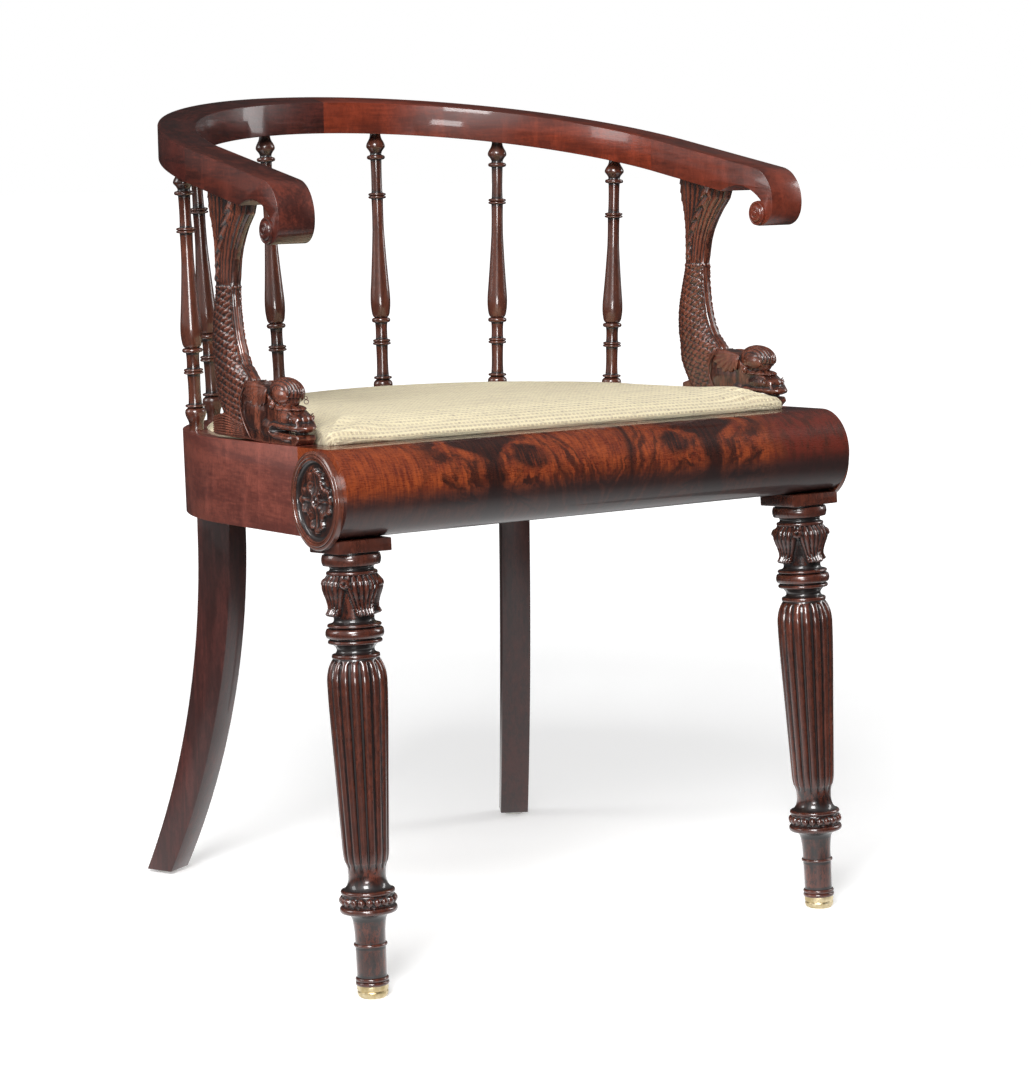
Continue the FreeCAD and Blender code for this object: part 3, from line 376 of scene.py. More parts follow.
def seat_cloth():
    """Cream cloth woven in rows of small dashes, with brown dotted rows along the front edge."""
    look = Look("cream_seat_cloth")
    x, y, z = look.parts()
    deep = look.add("Attribute", {"attribute_name": "weft"}, output="Fac")
    across = x * 1000
    flat = look.joined(across, deep, 0)
    drift = look.noise(flat, 0.012, 2) - 0.5
    deep = deep + drift * 2.5
    row = look.sum("FRACT", deep / 5.8 + 60)
    stripe = look.span(abs(row - 0.35), 0.3, 0.16)
    dash = look.span(look.sine(across * 1.45 + drift * 9), -0.9, 0.5)
    weft = look.sine(deep * 3.4 + look.sine(across * 1.5) * 0.9) * 0.5 + 0.5
    warp = look.sine(across * 3.2 + look.sine(deep * 1.1) * 1.4) * 0.5 + 0.5
    fuzz = look.noise((across * 0.35, deep, 1), 0.9, 3, 0.7)
    slub = look.noise((across * 0.05, deep, 2), 0.13, 4, 0.65)
    slub = look.span(slub, 0.42, 0.66)
    stain = look.noise((across, deep, 3), 0.02, 4, 0.65)
    bands = look.noise((across * 0.012, deep * 0.16, 5), 1, 3, 0.6)
    ticks = look.noise((across * 0.16, deep * 0.2, 7), 1, 2, 0.6)
    ticks = look.span(ticks, 0.56, 0.66)
    cloth = look.mix(weft * 0.6 + warp * 0.4, (0.82, 0.69, 0.42), (1, 0.91, 0.63))
    cloth = look.mix(slub * 0.3, cloth, (0.72, 0.6, 0.38))
    cloth = look.mix(look.span(bands, 0.47, 0.62) * 0.4, cloth, (0.62, 0.51, 0.32))
    cloth = look.mix(ticks * 0.6, cloth, (0.58, 0.47, 0.3))
    front = look.span(deep, 55, -8)
    brown = stripe * dash * (0.3 + front * 0.22 + ticks * 0.3)
    cloth = look.mix(brown, cloth, (0.3, 0.19, 0.12))
    pale = look.span(abs(row - 0.85), 0.15, 0.05)
    cloth = look.mix(pale * 0.4, cloth, (1, 0.93, 0.7))
    cloth = look.mix(look.span(stain, 0.54, 0.74) * 0.16, cloth, (0.55, 0.45, 0.29))
    cloth = look.mix(fuzz * 0.15, cloth, (1, 0.95, 0.78))
    rough = 0.82 + fuzz * 0.12
    normal = look.bump(weft * 0.8 + warp * 0.5 + stripe * dash * 0.5 + fuzz * 0.3 + slub * 0.5,
                       0.0007, 0.9)
    return look.finish(cloth, rough, normal, sheen_weight=0.1)


carved_wood = mahogany("carved", (0.152, 0.04, 0.02), (0.026, 0.008, 0.006), gloss=0.18,
                       figure=14, coat=1, mottle=0.36)
leg_wood = mahogany("turned_leg", (0.085, 0.018, 0.008), (0.009, 0.0034, 0.003), gloss=0.18,
                    figure=18, coat=1, seed=0.3, mottle=0.42)
spindle_wood = mahogany("spindle", (0.088, 0.023, 0.0115), (0.016, 0.0055, 0.0044), gloss=0.17,
                        figure=20, coat=1, seed=0.7, mottle=0.25)
rail_wood = mahogany("seat_rail", (0.238, 0.06, 0.04), (0.125, 0.03, 0.022), FORE_AND_AFT,
                     figure=34, coat=0.4, seed=1.1)
back_rail_wood = mahogany("back_rail", (0.228, 0.0473, 0.0283), (0.123, 0.0255, 0.0172),
                          ROUND_THE_BACK, figure=30, coat=0.4, seed=5.2)
rear_leg_wood = mahogany("rear_leg", (0.083, 0.0187, 0.0144), (0.036, 0.0094, 0.0079),
                         figure=22, coat=0.4, seed=1.7)
crest_wood = {
    "crest_left": mahogany("dark_crest", (0.098, 0.018, 0.012), (0.03, 0.0075, 0.006),
                           ROUND_THE_BACK, gloss=0.25, figure=26, seed=0.4),
    "crest_right": mahogany("light_crest", (0.218, 0.0317, 0.0112), (0.106, 0.0158, 0.0066),
                            ROUND_THE_BACK, gloss=0.25, figure=26, seed=2.3),
    "arm_left": mahogany("left_arm", (0.138, 0.0267, 0.0151), (0.05, 0.0117, 0.0084),
                         (1, 0.1, 1), gloss=0.25, figure=26, seed=3.1),
    "arm_right": mahogany("right_arm", (0.174, 0.0301, 0.0143), (0.076, 0.015, 0.0088),
                          (1, 0.1, 1), gloss=0.25, figure=26, seed=4.7),
}
veneer = flame_veneer()
brass = brass_finish()
steel = steel_finish()
beech = beech_finish()
jute = jute_finish()
cloth = seat_cloth()


# Making pieces

def mark_hollows(mesh, scales):
    """Keep how hollow each point of a carved surface is, for the polish that collects there and for
    the painted shade in the hollows.
    """
    def read(items, field, width, kind=float):
        values = np.empty(len(items) * width, kind)
        items.foreach_get(field, values)
        return values.reshape(-1, width)

    places, normals = read(mesh.vertices, "co", 3), read(mesh.vertices, "normal", 3)
    count = len(places)
    ends = read(mesh.edges, "vertices", 2, int)
    pull = 1 / np.maximum(np.linalg.norm(places[ends[:, 0]] - places[ends[:, 1]], axis=1), 1e-6)
    shares = np.bincount(ends.ravel(), np.repeat(pull, 2), count)[:, None]
    here, there, pull = ends.T.ravel(), ends.T[::-1].ravel(), np.tile(pull, 2)
    smooth = places.copy()
    hollow = np.zeros(count)
    for step in range(1, max(scales) + 1):
        total = [np.bincount(here, smooth[there, axis] * pull, count) for axis in range(3)]
        smooth = (smooth + np.stack(total, 1) / shares) / 2
        if step in scales:
            hollow += ((smooth - places) * normals).sum(1) / scales[step]
    layer = mesh.attributes.new("hollow", "FLOAT", "POINT")
    layer.data.foreach_set("value", np.clip(hollow, -1, 1))


def finish_piece(name, shape, finish, nodes, body="frame", crease=40,
                 hollows=None, merge=0.0005):
    """Turn a shape in millimetres into a finished piece that stands for its CAD nodes."""
    ops.remove_doubles(shape, verts=shape.verts, dist=merge)
    ops.recalc_face_normals(shape, faces=shape.faces)
    shape.transform(TO_METRES)
    mesh = bpy.data.meshes.new(name)
    shape.to_mesh(mesh)
    shape.free()
    mesh.shade_smooth()
    mesh.set_sharp_from_angle(angle=radians(crease))
    if hollows:
        mark_hollows(mesh, hollows)
    mesh.materials.append(finish)
    piece = put(name, mesh)
    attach(piece, body)
    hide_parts(*nodes)
    return piece


def round_edges(shape, edges, width, segments=2):
    ops.bevel(shape, geom=edges, offset=width, offset_type="OFFSET", affect="EDGES",
              segments=segments, profile=0.5, material=-1, clamp_overlap=True)


def cut_flat(shape, spot, facing):
    """Cut away what lies beyond a plane, and close the cut."""
    cut = ops.bisect_plane(shape, geom=shape.verts[:] + shape.edges[:] + shape.faces[:],
                           plane_co=spot, plane_no=facing, clear_outer=True)
    rim = [item for item in cut["geom_cut"] if isinstance(item, bmesh.types.BMEdge)]
    ops.contextual_create(shape, geom=rim)


def ring_edges(*rings):
    """The edges that lie in these rings of points."""
    return list({edge for ring in map(set, rings) for vert in ring for edge in vert.link_edges
                 if edge.other_vert(vert) in ring})


def skin_rings(shape, rings):
    """Close a row of rings into a solid."""
    for first, last in zip(rings, rings[1:]):
        ops.bridge_loops(shape, edges=ring_edges(first, last))
    for ring in (rings[0], rings[-1]):
        ops.contextual_create(shape, geom=ring_edges(ring))


def add_shape(whole, part, place=Matrix()):
    """Put one closed shape into another piece's shape."""
    part.transform(place)
    ops.recalc_face_normals(part, faces=part.faces)
    mesh = bpy.data.meshes.new("part")
    part.to_mesh(mesh)
    part.free()
    whole.from_mesh(mesh)
    bpy.data.meshes.remove(mesh)


class Turning:
    """A turner's profile of radius and height, drawn upwards."""

    def __init__(self, radius, height):
        self.points = [(radius, height)]

    def to(self, radius, height):
        self.points.append((radius, height))
        return self

    def run(self, radius, height, count):
        """A straight run with points along it, for carving."""
        start, end = Vector(self.points[-1]), Vector((radius, height))
        self.points += [tuple(start.lerp(end, share)) for share in steps(0, 1, count + 1)[1:]]
        return self

    def bend(self, middle_radius, middle_height, radius, height, count=6):
        """A smooth curve through a middle point, such as a cove or a swell."""
        first, last = Vector(self.points[-1]), Vector((radius, height))
        middle = Vector((middle_radius, middle_height))
        handle = middle * 2 - (first + last) / 2
        for t in steps(0, 1, count + 1)[1:]:
            spot = first * (1 - t) ** 2 + handle * (2 * t * (1 - t)) + last * t * t
            self.points.append((spot.x, spot.y))
        return self

    def bead(self, bulge, height, count=7):
        """A half-round bead that stands out from the last radius."""
        radius, low = self.points[-1]
        for share in steps(0, 1, count + 1)[1:]:
            self.points.append((radius + bulge * sin(pi * share),
                                low + (height - low) * (1 - cos(pi * share)) / 2))
        return self

    def spun(self, sides):
        shape = bmesh.new()
        spots = [Vector(self.points[0])]
        for point in self.points[1:]:
            start, end = spots[-1], Vector(point)
            extra = int((end - start).length / 3) if min(start.x, end.x) > 0 else 0
            spots += [start.lerp(end, share) for share in steps(0, 1, extra + 2)[1:]]
        verts = [shape.verts.new((radius, 0, height)) for radius, height in spots]
        edges = [shape.edges.new(pair) for pair in zip(verts, verts[1:])]
        ops.spin(shape, geom=verts + edges, cent=(0, 0, 0), axis=(0, 0, 1),
                 angle=tau, steps=sides, use_merge=True)
        ops.remove_doubles(shape, verts=shape.verts, dist=0.0005)
        return shape


def carve(shape, relief):
    """Move each point of a turned shape out or in by the relief at its angle and height."""
    for vert in shape.verts:
        reach = hypot(vert.co.x, vert.co.y)
        if reach > 0.5:
            change = relief(atan2(vert.co.y, vert.co.x), vert.co.z, reach)
            vert.co.x *= 1 + change / reach
            vert.co.y *= 1 + change / reach


def ball(size=(1, 1, 1), spot=(0, 0, 0), segments=20, rings=14):
    shape = bmesh.new()
    ops.create_uvsphere(shape, u_segments=segments, v_segments=rings, radius=1)
    shape.transform(shift(*spot) @ Matrix.Diagonal((*size, 1)))
    return shape


def rod(path, radii, sides=10):
    """A carved roll or strand along a path, round in section, with rounded ends."""
    shape = bmesh.new()
    points = [Vector(spot) for spot in path]
    rings = []
    for index, spot in enumerate(points):
        ahead = points[min(index + 1, len(points) - 1)] - points[max(index - 1, 0)]
        made = ops.create_circle(shape, segments=sides, radius=radii[index],
                                 matrix=aim(spot, spot + ahead))
        rings.append(made["verts"])
    skin_rings(shape, rings)
    return shape


def plank(outline, inner, outer, rounding, segments):
    """A flat carved slab drawn in side view, from its inner to its outer face, edges rounded."""
    shape = bmesh.new()
    face = shape.faces.new([shape.verts.new((inner, y, z)) for y, z in outline])
    made = ops.extrude_face_region(shape, geom=[face])
    moved = [item for item in made["geom"] if isinstance(item, bmesh.types.BMVert)]
    ops.translate(shape, verts=moved, vec=(outer - inner, 0, 0))
    round_edges(shape, shape.edges[:], rounding, segments)
    return shape


def smooth_line(points, count):
    """Points along a soft curve through the given ones."""
    spots = [Vector(p) for p in points]
    padded = [spots[0] * 2 - spots[1]] + spots + [spots[-1] * 2 - spots[-2]]
    found = []
    runs = len(spots) - 1
    for t in steps(0, runs, count):
        index = min(int(t), runs - 1)
        a, b, c, d = padded[index:index + 4]
        u = t - index
        found.append((b * 2 + (c - a) * u + (a * 2 - b * 5 + c * 4 - d) * u * u
                      + (b * 3 - a - c * 3 + d) * u * u * u) / 2)
    return found


# Pieces whose CAD shape is right get eased arrises, as hand-cleaned wood has

def eased_copy(node, width, angle=34, neighbours=()):
    """The CAD shape with rounded arrises, but flush where it meets neighbours."""
    shape = bmesh.new()
    shape.from_mesh(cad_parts[node].data)
    shape.transform(TO_MILLIMETRES)
    ops.remove_doubles(shape, verts=shape.verts, dist=0.002)
    ops.dissolve_limit(shape, angle_limit=radians(0.4), verts=shape.verts,
                       edges=shape.edges)
    beside = [vert.co * 1000 for other in neighbours
              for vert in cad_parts[other].data.vertices]
    seam = KDTree(len(beside))
    for index, spot in enumerate(beside):
        seam.insert(spot, index)
    seam.balance()
    at_seam = {vert for vert in shape.verts if beside and seam.find(vert.co)[2] < 0.05}
    sharp = [edge for edge in shape.edges if len(edge.link_faces) == 2
             and edge.calc_face_angle(0) > radians(angle)
             and not at_seam.issuperset(edge.verts)]
    round_edges(shape, sharp, width)
    return shape


def scroll_button():
    """The domed button in the eye of an arm's scroll."""
    button = Turning(0, -2).to(10.9, -2).to(10.9, 0.6).bend(10.8, 2.2, 9.3, 2.3, 5).to(8.7, 1.5)
    button.to(8.3, 1.9).bend(7, 3.8, 4.2, 4.4, 6).to(3.6, 3.9).to(3, 4.2)
    return button.bend(2.3, 5.2, 0, 5.4, 5).spun(48)


def make_rails():
    for kind, node, width, wood in (
            ("nosed", "front_rail", 0.8, veneer), ("bent", "side_rail_left", 0.7, rail_wood),
            ("sabre", "rear_leg_left", 1, rear_leg_wood),
            ("bent", "side_rail_right", 0.7, rail_wood),
            ("sabre", "rear_leg_right", 1, rear_leg_wood),
            ("bent", "back_rail", 0.7, back_rail_wood)):
        finish_piece(f"{kind}_{node}", eased_copy(node, width), wood, [node], crease=30)
    eye = CREST @ Vector((0, -155.5, -40))
    for node, wood in crest_wood.items():
        others = [other for other in crest_wood if other != node]
        shape = eased_copy(node, 1.1, neighbours=others)
        if node.startswith("arm"):
            at_eye = [vert.co.x for vert in shape.verts
                      if hypot(vert.co.y - eye.y, vert.co.z - eye.z) < 10.5]
            for x, facing in ((min(at_eye), -1), (max(at_eye), 1)):
                add_shape(shape, scroll_button(), shift(x - facing * 1.5, eye.y, eye.z)
                          @ turn(facing * 90, "Y"))
        finish_piece(f"polished_{node}", shape, wood, [node], crease=30)


# Turned legs

LEG_SIDES = 192
REEDS = 16
BEADS = 20
LEAF_FACE = (  # height, radius of the leaf's face
    (320.8, 17.2), (322, 23), (323.6, 24.2), (325.6, 22.9), (328, 21.6), (331, 21.6),
    (336, 22.7), (340, 24.2), (344, 25.3), (348, 25.5), (351, 24.6), (354, 22),
    (356, 20.5),
)
LEAF_HALF_ANGLE = (
    (320.8, 20), (323, 25), (326, 27), (330, 30), (336, 36), (342, 41),
    (348, 44.5), (356, 45),
)


def leg_profile():
    leg = Turning(0, 6).to(12.2, 6).to(12.2, 9.6).to(13.2, 10)
    leg.bead(1.1, 13.3).to(12.9, 13.4).bead(1.3, 16.9).to(12.6, 17.2)
    leg.to(12.9, 42.8).bead(1.5, 45.8).to(12.9, 46).bend(13.1, 56, 14.3, 66)
    leg.bend(17.2, 70.2, 22.6, 72).bead(1.8, 77.2).to(21.9, 77.6).bend(22.2, 78, 22.2, 78.6, 2)
    leg.run(22.2, 87, 16).to(21.2, 87.6).bead(1.8, 91.4).to(20.4, 91.6)
    leg.bend(16.6, 97, 16, 106, 10)
    leg.bend(16.6, 111, 18.2, 114.6, 8).bend(19, 118.5, 19.5, 123.2, 8)
    leg.run(22.4, 190, 30).bend(24.6, 240, 25.1, 261, 24)
    leg.bend(24.2, 275, 19.6, 285.2, 18).to(19.4, 286).bead(0.8, 289.4).to(17.8, 289.8)
    leg.bend(15.7, 293.3, 19, 297.8, 8).to(21.6, 298.4).bead(1.2, 301.4).to(21, 302.2)
    leg.to(22.4, 303).bead(2.1, 311).to(20.8, 311.6).to(21.4, 312.2).bead(1.3, 314.8)
    leg.bend(17.6, 316.4, 17, 320, 6).run(17, 321.6, 2).run(17.1, 328, 12)
    leg.run(18.2, 338, 16).run(20.2, 348, 16).run(20.4, 355.6, 12)
    leg.to(20.6, 355.8).bead(0.9, 358.6).to(19.6, 358.8).bend(18.3, 361, 20, 363.4, 6)
    leg.to(23.8, 363.8).bend(24.9, 368.2, 24, 372.6, 6).to(22, 373).to(22, 375)
    return leg.to(0, 375)


def reed_relief(angle, height, reach):
    """Rounded reeds that stay full to their ends."""
    fade = eased(107.5, 116, height) * (1 - eased(281.5, 285.4, height))
    if fade <= 0:
        return 0
    across = ((angle * REEDS / tau) % 1) * 2 - 1
    width = reach * pi / REEDS
    return fade * width * 0.55 * (sqrt(max(0, 1 - (across / 0.8) ** 2)) - 1)


def bead_relief(angle, height):
    """A string of round beads between two fine rings."""
    across = (((angle * BEADS / tau) % 1) - 0.5) * tau / BEADS * 23.4
    left = 1 - (across / 3.5) ** 2 - ((height - 82.6) / 3.6) ** 2
    return 3 * sqrt(max(0, left)) - 0.6


def off_middle(angle):
    """The angle from the middle of the nearest of four leaves."""
    return (angle + pi / 4) % (pi / 2) - pi / 4


def leaf_relief(angle, height, reach):
    """Four ribbed leaves on the bulb, one to each face of the block, with a curl at the tip."""
    off_degrees = abs(degrees(off_middle(angle)))
    half = between(LEAF_HALF_ANGLE, height)[0]
    share = off_degrees / half
    face = between(LEAF_FACE, height)[0]
    corner, lift = (45 - off_degrees) * 0.42, height - 349.5
    ring = hypot(corner, lift)
    boss = face - reach + 1.4 * exp(-(ring - 2.4) ** 2) - 2.2 * exp(-ring * ring)
    if ring < 4.2:
        return boss
    if share >= 1:
        return 0
    rib = abs(cos(pi * share * 3.5)) ** 0.7
    tip = 1.5 * (1 - abs(cos(pi * share * 1.5))) * (1 - eased(321, 325.5, height))
    return (face - reach) * (1 - share ** 8) + (rib - 0.8) * 2.4 * (1 - 0.2 * share) - tip


def leg_relief(angle, height, reach):
    if 78.5 < height < 87.1:
        return bead_relief(angle, height)
    if 107 < height < 285.5:
        return reed_relief(angle, height, reach)
    if 321.5 < height < 355.8:
        return leaf_relief(angle, height, reach)
    return 0


def leg_place(sign):
    return shift(sign * 238.2, -250, 0) @ turn(-4.06, "X") @ turn(-sign * 0.46, "Y")


def square_block(place):
    """The block over the turning, cut to the slope of the seat frame."""
    block = bmesh.new()
    ops.create_cube(block, size=1)
    block.transform(place @ shift(0, 0, 394) @ Matrix.Diagonal((50.4, 50.4, 39, 1)))
    cut_flat(block, SEAT @ Vector((0, 0, -0.02)), SEAT.to_3x3() @ Vector((0, 0, 1)))
    round_edges(block, block.edges[:], 0.9)
    return block


def make_front_legs():
    for side, sign in SIDES:
        place = leg_place(sign)
        leg = leg_profile().spun(LEG_SIDES)
        carve(leg, leg_relief)
        leg.transform(place)
        add_shape(leg, square_block(place))
        finish_piece(f"reeded_leg_{side}", leg, leg_wood, [f"front_leg_{side}"], hollows=CARVED)

        cap = Turning(0, -2).to(11, -2).to(11.2, 0.4).bend(12.3, 1, 12.6, 2.4, 4)
        cap.bead(0.5, 5).to(12.5, 5.3).bend(13, 6, 13.3, 7, 3).to(13.3, 10.8)
        cap.bend(13.1, 11.8, 12.5, 12, 3).to(12.2, 11.2).to(0, 11.2)
        cup = cap.spun(64)
        cup.transform(place)
        cut_flat(cup, (0, 0, 0), (0, 0, -1))
        finish_piece(f"brass_cap_{side}", cup, brass, [f"front_cap_{side}"])


# Spindles

SPINDLE_ENDS = (
    ((58.619, 229.667, 444.378), (62.526, 242.472, 717.595)),
    ((160.22, 174.562, 446.302), (169.086, 181.71, 707.077)),
    ((229.416, 70.834, 449.924), (235.682, 70.26, 687.786)),
)


def spindle_profile(length):
    """One turned spindle, its turnings spread in proportion between the rails."""
    turning = Turning(6.6, 2).bend(6.5, 6, 7.4, 10, 5).bend(9.6, 16.5, 8.8, 20.6, 8)
    turning.to(6.6, 22.4).to(7.8, 22.8).bead(1.4, 25.2).to(6.2, 25.6).bend(5.7, 38, 6, 54, 6)
    turning.to(7.6, 54.4).bead(1.5, 56.8).to(7.4, 57).bead(1.5, 59.4)
    turning.to(6, 59.8).bend(5.8, 68, 6.2, 74.6, 5).to(7.4, 75).bead(2, 79.2).to(6.4, 79.6)
    turning.bend(8.3, 81.6, 9.3, 86, 7).bend(10, 95, 9.3, 108, 9)
    turning.bend(7.4, 134, 5.9, 160, 12).bend(5.7, 176, 5.9, 188.4, 4)
    turning.to(7.4, 188.8).bead(1.6, 191.1).to(7.2, 191.3).bead(1.7, 193.8)
    turning.to(5.6, 194.2).bend(5.3, 208, 5.6, 224, 6).to(7.3, 224.5).bead(1.8, 228.2)
    turning.to(5.9, 228.6).bend(6, 231, 8.4, 234.4, 5).bend(9.4, 237.2, 7.4, 241.5, 7)
    turning.bend(5.6, 245.5, 5.5, 250, 5)
    up = length / 250
    middle = [(radius, height * up) for radius, height in turning.points]
    turning.points = [(0, -2), (6.6, -2), *middle, (5.5, length + 2), (0, length + 2)]
    return turning


def make_spindles():
    places = [(number, sign, ends) for sign, numbers in ((1, (4, 5, 6)), (-1, (3, 2, 1)))
              for number, ends in zip(numbers, SPINDLE_ENDS)]
    for number, sign, ends in places:
        foot, head = [Vector((sign * x, y, z)) for x, y, z in ends]
        shape = spindle_profile((head - foot).length).spun(40)
        shape.transform(aim(foot, head))
        finish_piece(f"turned_spindle_{number}", shape, spindle_wood, [f"spindle_{number}"],
                     hollows=TURNED)


# Roundels on the ends of the front rail

def roundel_relief(angle, reach):
    """Four cupped, lobed leaves in a cross, small petals between, and a ball in the middle."""
    off = off_middle(angle)
    centre = 3.2 * sqrt(max(0, 1 - (reach / 4.2) ** 2))
    along, across = reach * cos(off) - 14.5, reach * sin(off)
    spread, run = atan2(across, along), hypot(along, across)
    lobes = cos(7 * spread)
    edge = 11.6 + 1.5 * lobes
    share = run / edge
    leaf = 0
    if share < 1:
        rib = abs(cos(3.5 * spread)) ** 0.6
        leaf = 0.9 + 2.6 * share ** 2 + 1.5 * (rib - 0.6) * share
        leaf += 1.2 * exp(-(across / 1.2) ** 2) * (1 - share) - max(0, share - 0.86) * 80 / 7
    slant = angle % (pi / 2)
    petal = hypot(reach * cos(slant) - 5.6, reach * sin(slant) - 5.6)
    return max(centre, leaf, 2.4 * exp(-(petal / 2.2) ** 2))


def make_roundels():
    for side, sign in SIDES:
        disc = Turning(0, 0).to(41.2, 0).to(41.2, 3.2).bend(41.1, 4.6, 39.8, 5.2, 4)
        disc.bend(38.9, 5.4, 38.3, 4.4, 3).bend(37.9, 5.9, 36.6, 6, 4)
        disc.bend(35.6, 5.8, 35.3, 4.6, 3).to(34.9, 5.2).to(33.8, 5.2).to(33.5, 4.2)
        disc.bend(32.6, 2.2, 30.4, 1.5, 5).run(0, 1.5, 44)
        shape = disc.spun(128)
        for vert in shape.verts:
            reach = hypot(vert.co.x, vert.co.y)
            if vert.co.z > 1.2 and reach < 30.3:
                vert.co.z += roundel_relief(atan2(vert.co.y, vert.co.x), reach)
        shape.transform(SEAT @ shift(sign * 260.5, 0, 32.3) @ turn(sign * 90, "Y"))
        finish_piece(f"leaf_roundel_{side}", shape, carved_wood, [f"roundel_{side}"],
                     hollows=CARVED)


# Dolphin arm supports

STEM = (  # height, middle, half depth, half width
    (458, -72, 24, 9), (470, -68, 27, 9.4), (485, -62, 32, 9.8), (495, -60, 35.5, 9.9),
    (505, -58.7, 35.4, 9.9), (510, -57, 34, 9.9), (520, -49.5, 28.5, 9.9), (530, -46, 25.3, 9.8),
    (540, -44, 22.9, 9.7), (550, -43.4, 20.7, 9.6), (560, -43.8, 18.4, 9.5),
    (570, -44.6, 16.2, 9.4), (580, -46, 14.4, 9.3), (590, -47, 13.7, 9.2), (600, -48, 14.4, 9.2),
    (610, -49, 16, 9.3), (620, -51, 18.4, 9.5), (630, -53.6, 22.6, 9.9), (640, -56.6, 28, 10.3),
    (650, -60, 35.5, 10.8), (660, -61.5, 38.5, 11.2), (680, -62, 40, 11.6),
)
SCALE_WIDE, SCALE_STEP, SCALE_RISE = 12.4, 3.1, 4.6
SCALES_END = 585


def scale_relief(around, up):
    """Round-ended scales that overlap upwards, staggered row by row."""
    row = floor(up / SCALE_STEP)
    for step in range(row - 2, row + 2):
        offset = (0.5 * (step % 2)) * SCALE_WIDE
        across = (around - offset + SCALE_WIDE / 2) % SCALE_WIDE - SCALE_WIDE / 2
        share = across / (SCALE_WIDE * 0.5)
        edge = step * SCALE_STEP + SCALE_RISE * sqrt(1 - share * share)
        if up <= edge:
            below = edge - up
            lip = (1 - exp(-below / 0.5)) * (1 - below / 7.5)
            return 1.9 * lip * (1 - 0.5 * share * share) - 0.9
    return -0.9


STEM_SIDES, STEM_RINGS = 152, 236


def make_stem():
    """The loft of the dolphin's body and tail, closed at both ends, with its carving."""
    shape = bmesh.new()
    rings = []
    arm_under = CREST @ Vector((0, 0, -30))
    slope = tan(radians(9.82))
    half = STEM_SIDES // 2
    for height in steps(462, 676, STEM_RINGS):
        middle, deep, wide = between(STEM, height)
        made = ops.create_circle(shape, segments=STEM_SIDES, radius=1)
        ring = sorted(made["verts"], key=lambda v: atan2(v.co.x, v.co.y))
        outline = []
        for vert in ring:
            angle = atan2(vert.co.x, vert.co.y)
            slim = 1 - 0.34 * max(0, -cos(angle)) ** 2
            across = wide * slim * copysign(abs(sin(angle)) ** 0.72, sin(angle))
            along = deep * copysign(abs(cos(angle)) ** 0.8, cos(angle))
            outline.append(Vector((across, along, 0)))
        around = [0] * STEM_SIDES
        for way, indices in ((1, range(half + 1, STEM_SIDES)), (-1, range(half - 1, -1, -1))):
            for index in indices:
                step = (outline[index] - outline[index - way]).length
                around[index] = around[index - way] + way * step
        for vert, flat, run in zip(ring, outline, around):
            normal = Vector((flat.x / wide ** 2, flat.y / deep ** 2, 0)).normalized()
            spot = flat + normal * dolphin_relief(run, flat, deep, wide, height)
            y = middle + spot.y
            ceiling = arm_under.z + slope * (y - arm_under.y) + 1.5
            vert.co = (spot.x + 2.2 * (height - 458) / 215, y, min(height, ceiling))
        rings.append(ring)
    skin_rings(shape, rings)
    return shape


def dolphin_relief(around, flat, deep, wide, height):
    """How far the carving stands out at one point of the stem."""
    front, side = -flat.y / deep, abs(flat.x) / wide
    up = height - 458 + 0.25 * flat.y
    if height < SCALES_END:
        if front > 0.92:
            return 0.6 * abs(cos(pi * flat.x / 3.2)) ** 0.5 - 0.4
        return scale_relief(around, up) + 1.4 * max(0, 1 - abs(front - 0.9) / 0.035)
    if height < SCALES_END + 2.6:
        return 0.9 * abs(sin(around * 0.9)) - 0.1
    grow = eased(SCALES_END + 2, SCALES_END + 12, height)
    if front > 0.86:
        if side < 0.45:
            return -0.7 * grow
        return grow * (0.9 * abs(cos(pi * (side - 0.45) * 4.5)) ** 0.7 - 0.5)
    if front < -0.86:
        return grow * (1.5 * (1 - (height / 8.5) % 1) - 0.5)
    middle = deep * (0.3 - 0.62 * eased(592, 655, height))
    half = 3.6 + 3.6 * eased(595, 660, height)
    off = (flat.y - middle) / half
    if abs(off) < 1 and height > SCALES_END + 6:
        hook = abs(off + 0.25)
        tooth = 1 - ((height + 6.5 * hook) / 11.5) % 1
        return 0.1 + 2.3 * tooth ** 1.2 * (1 - off ** 4) - 0.7 * exp(-(hook / 0.16) ** 2)
    return grow * (1.3 * abs(cos(pi * front * 4.5)) ** 0.6 - 0.75)


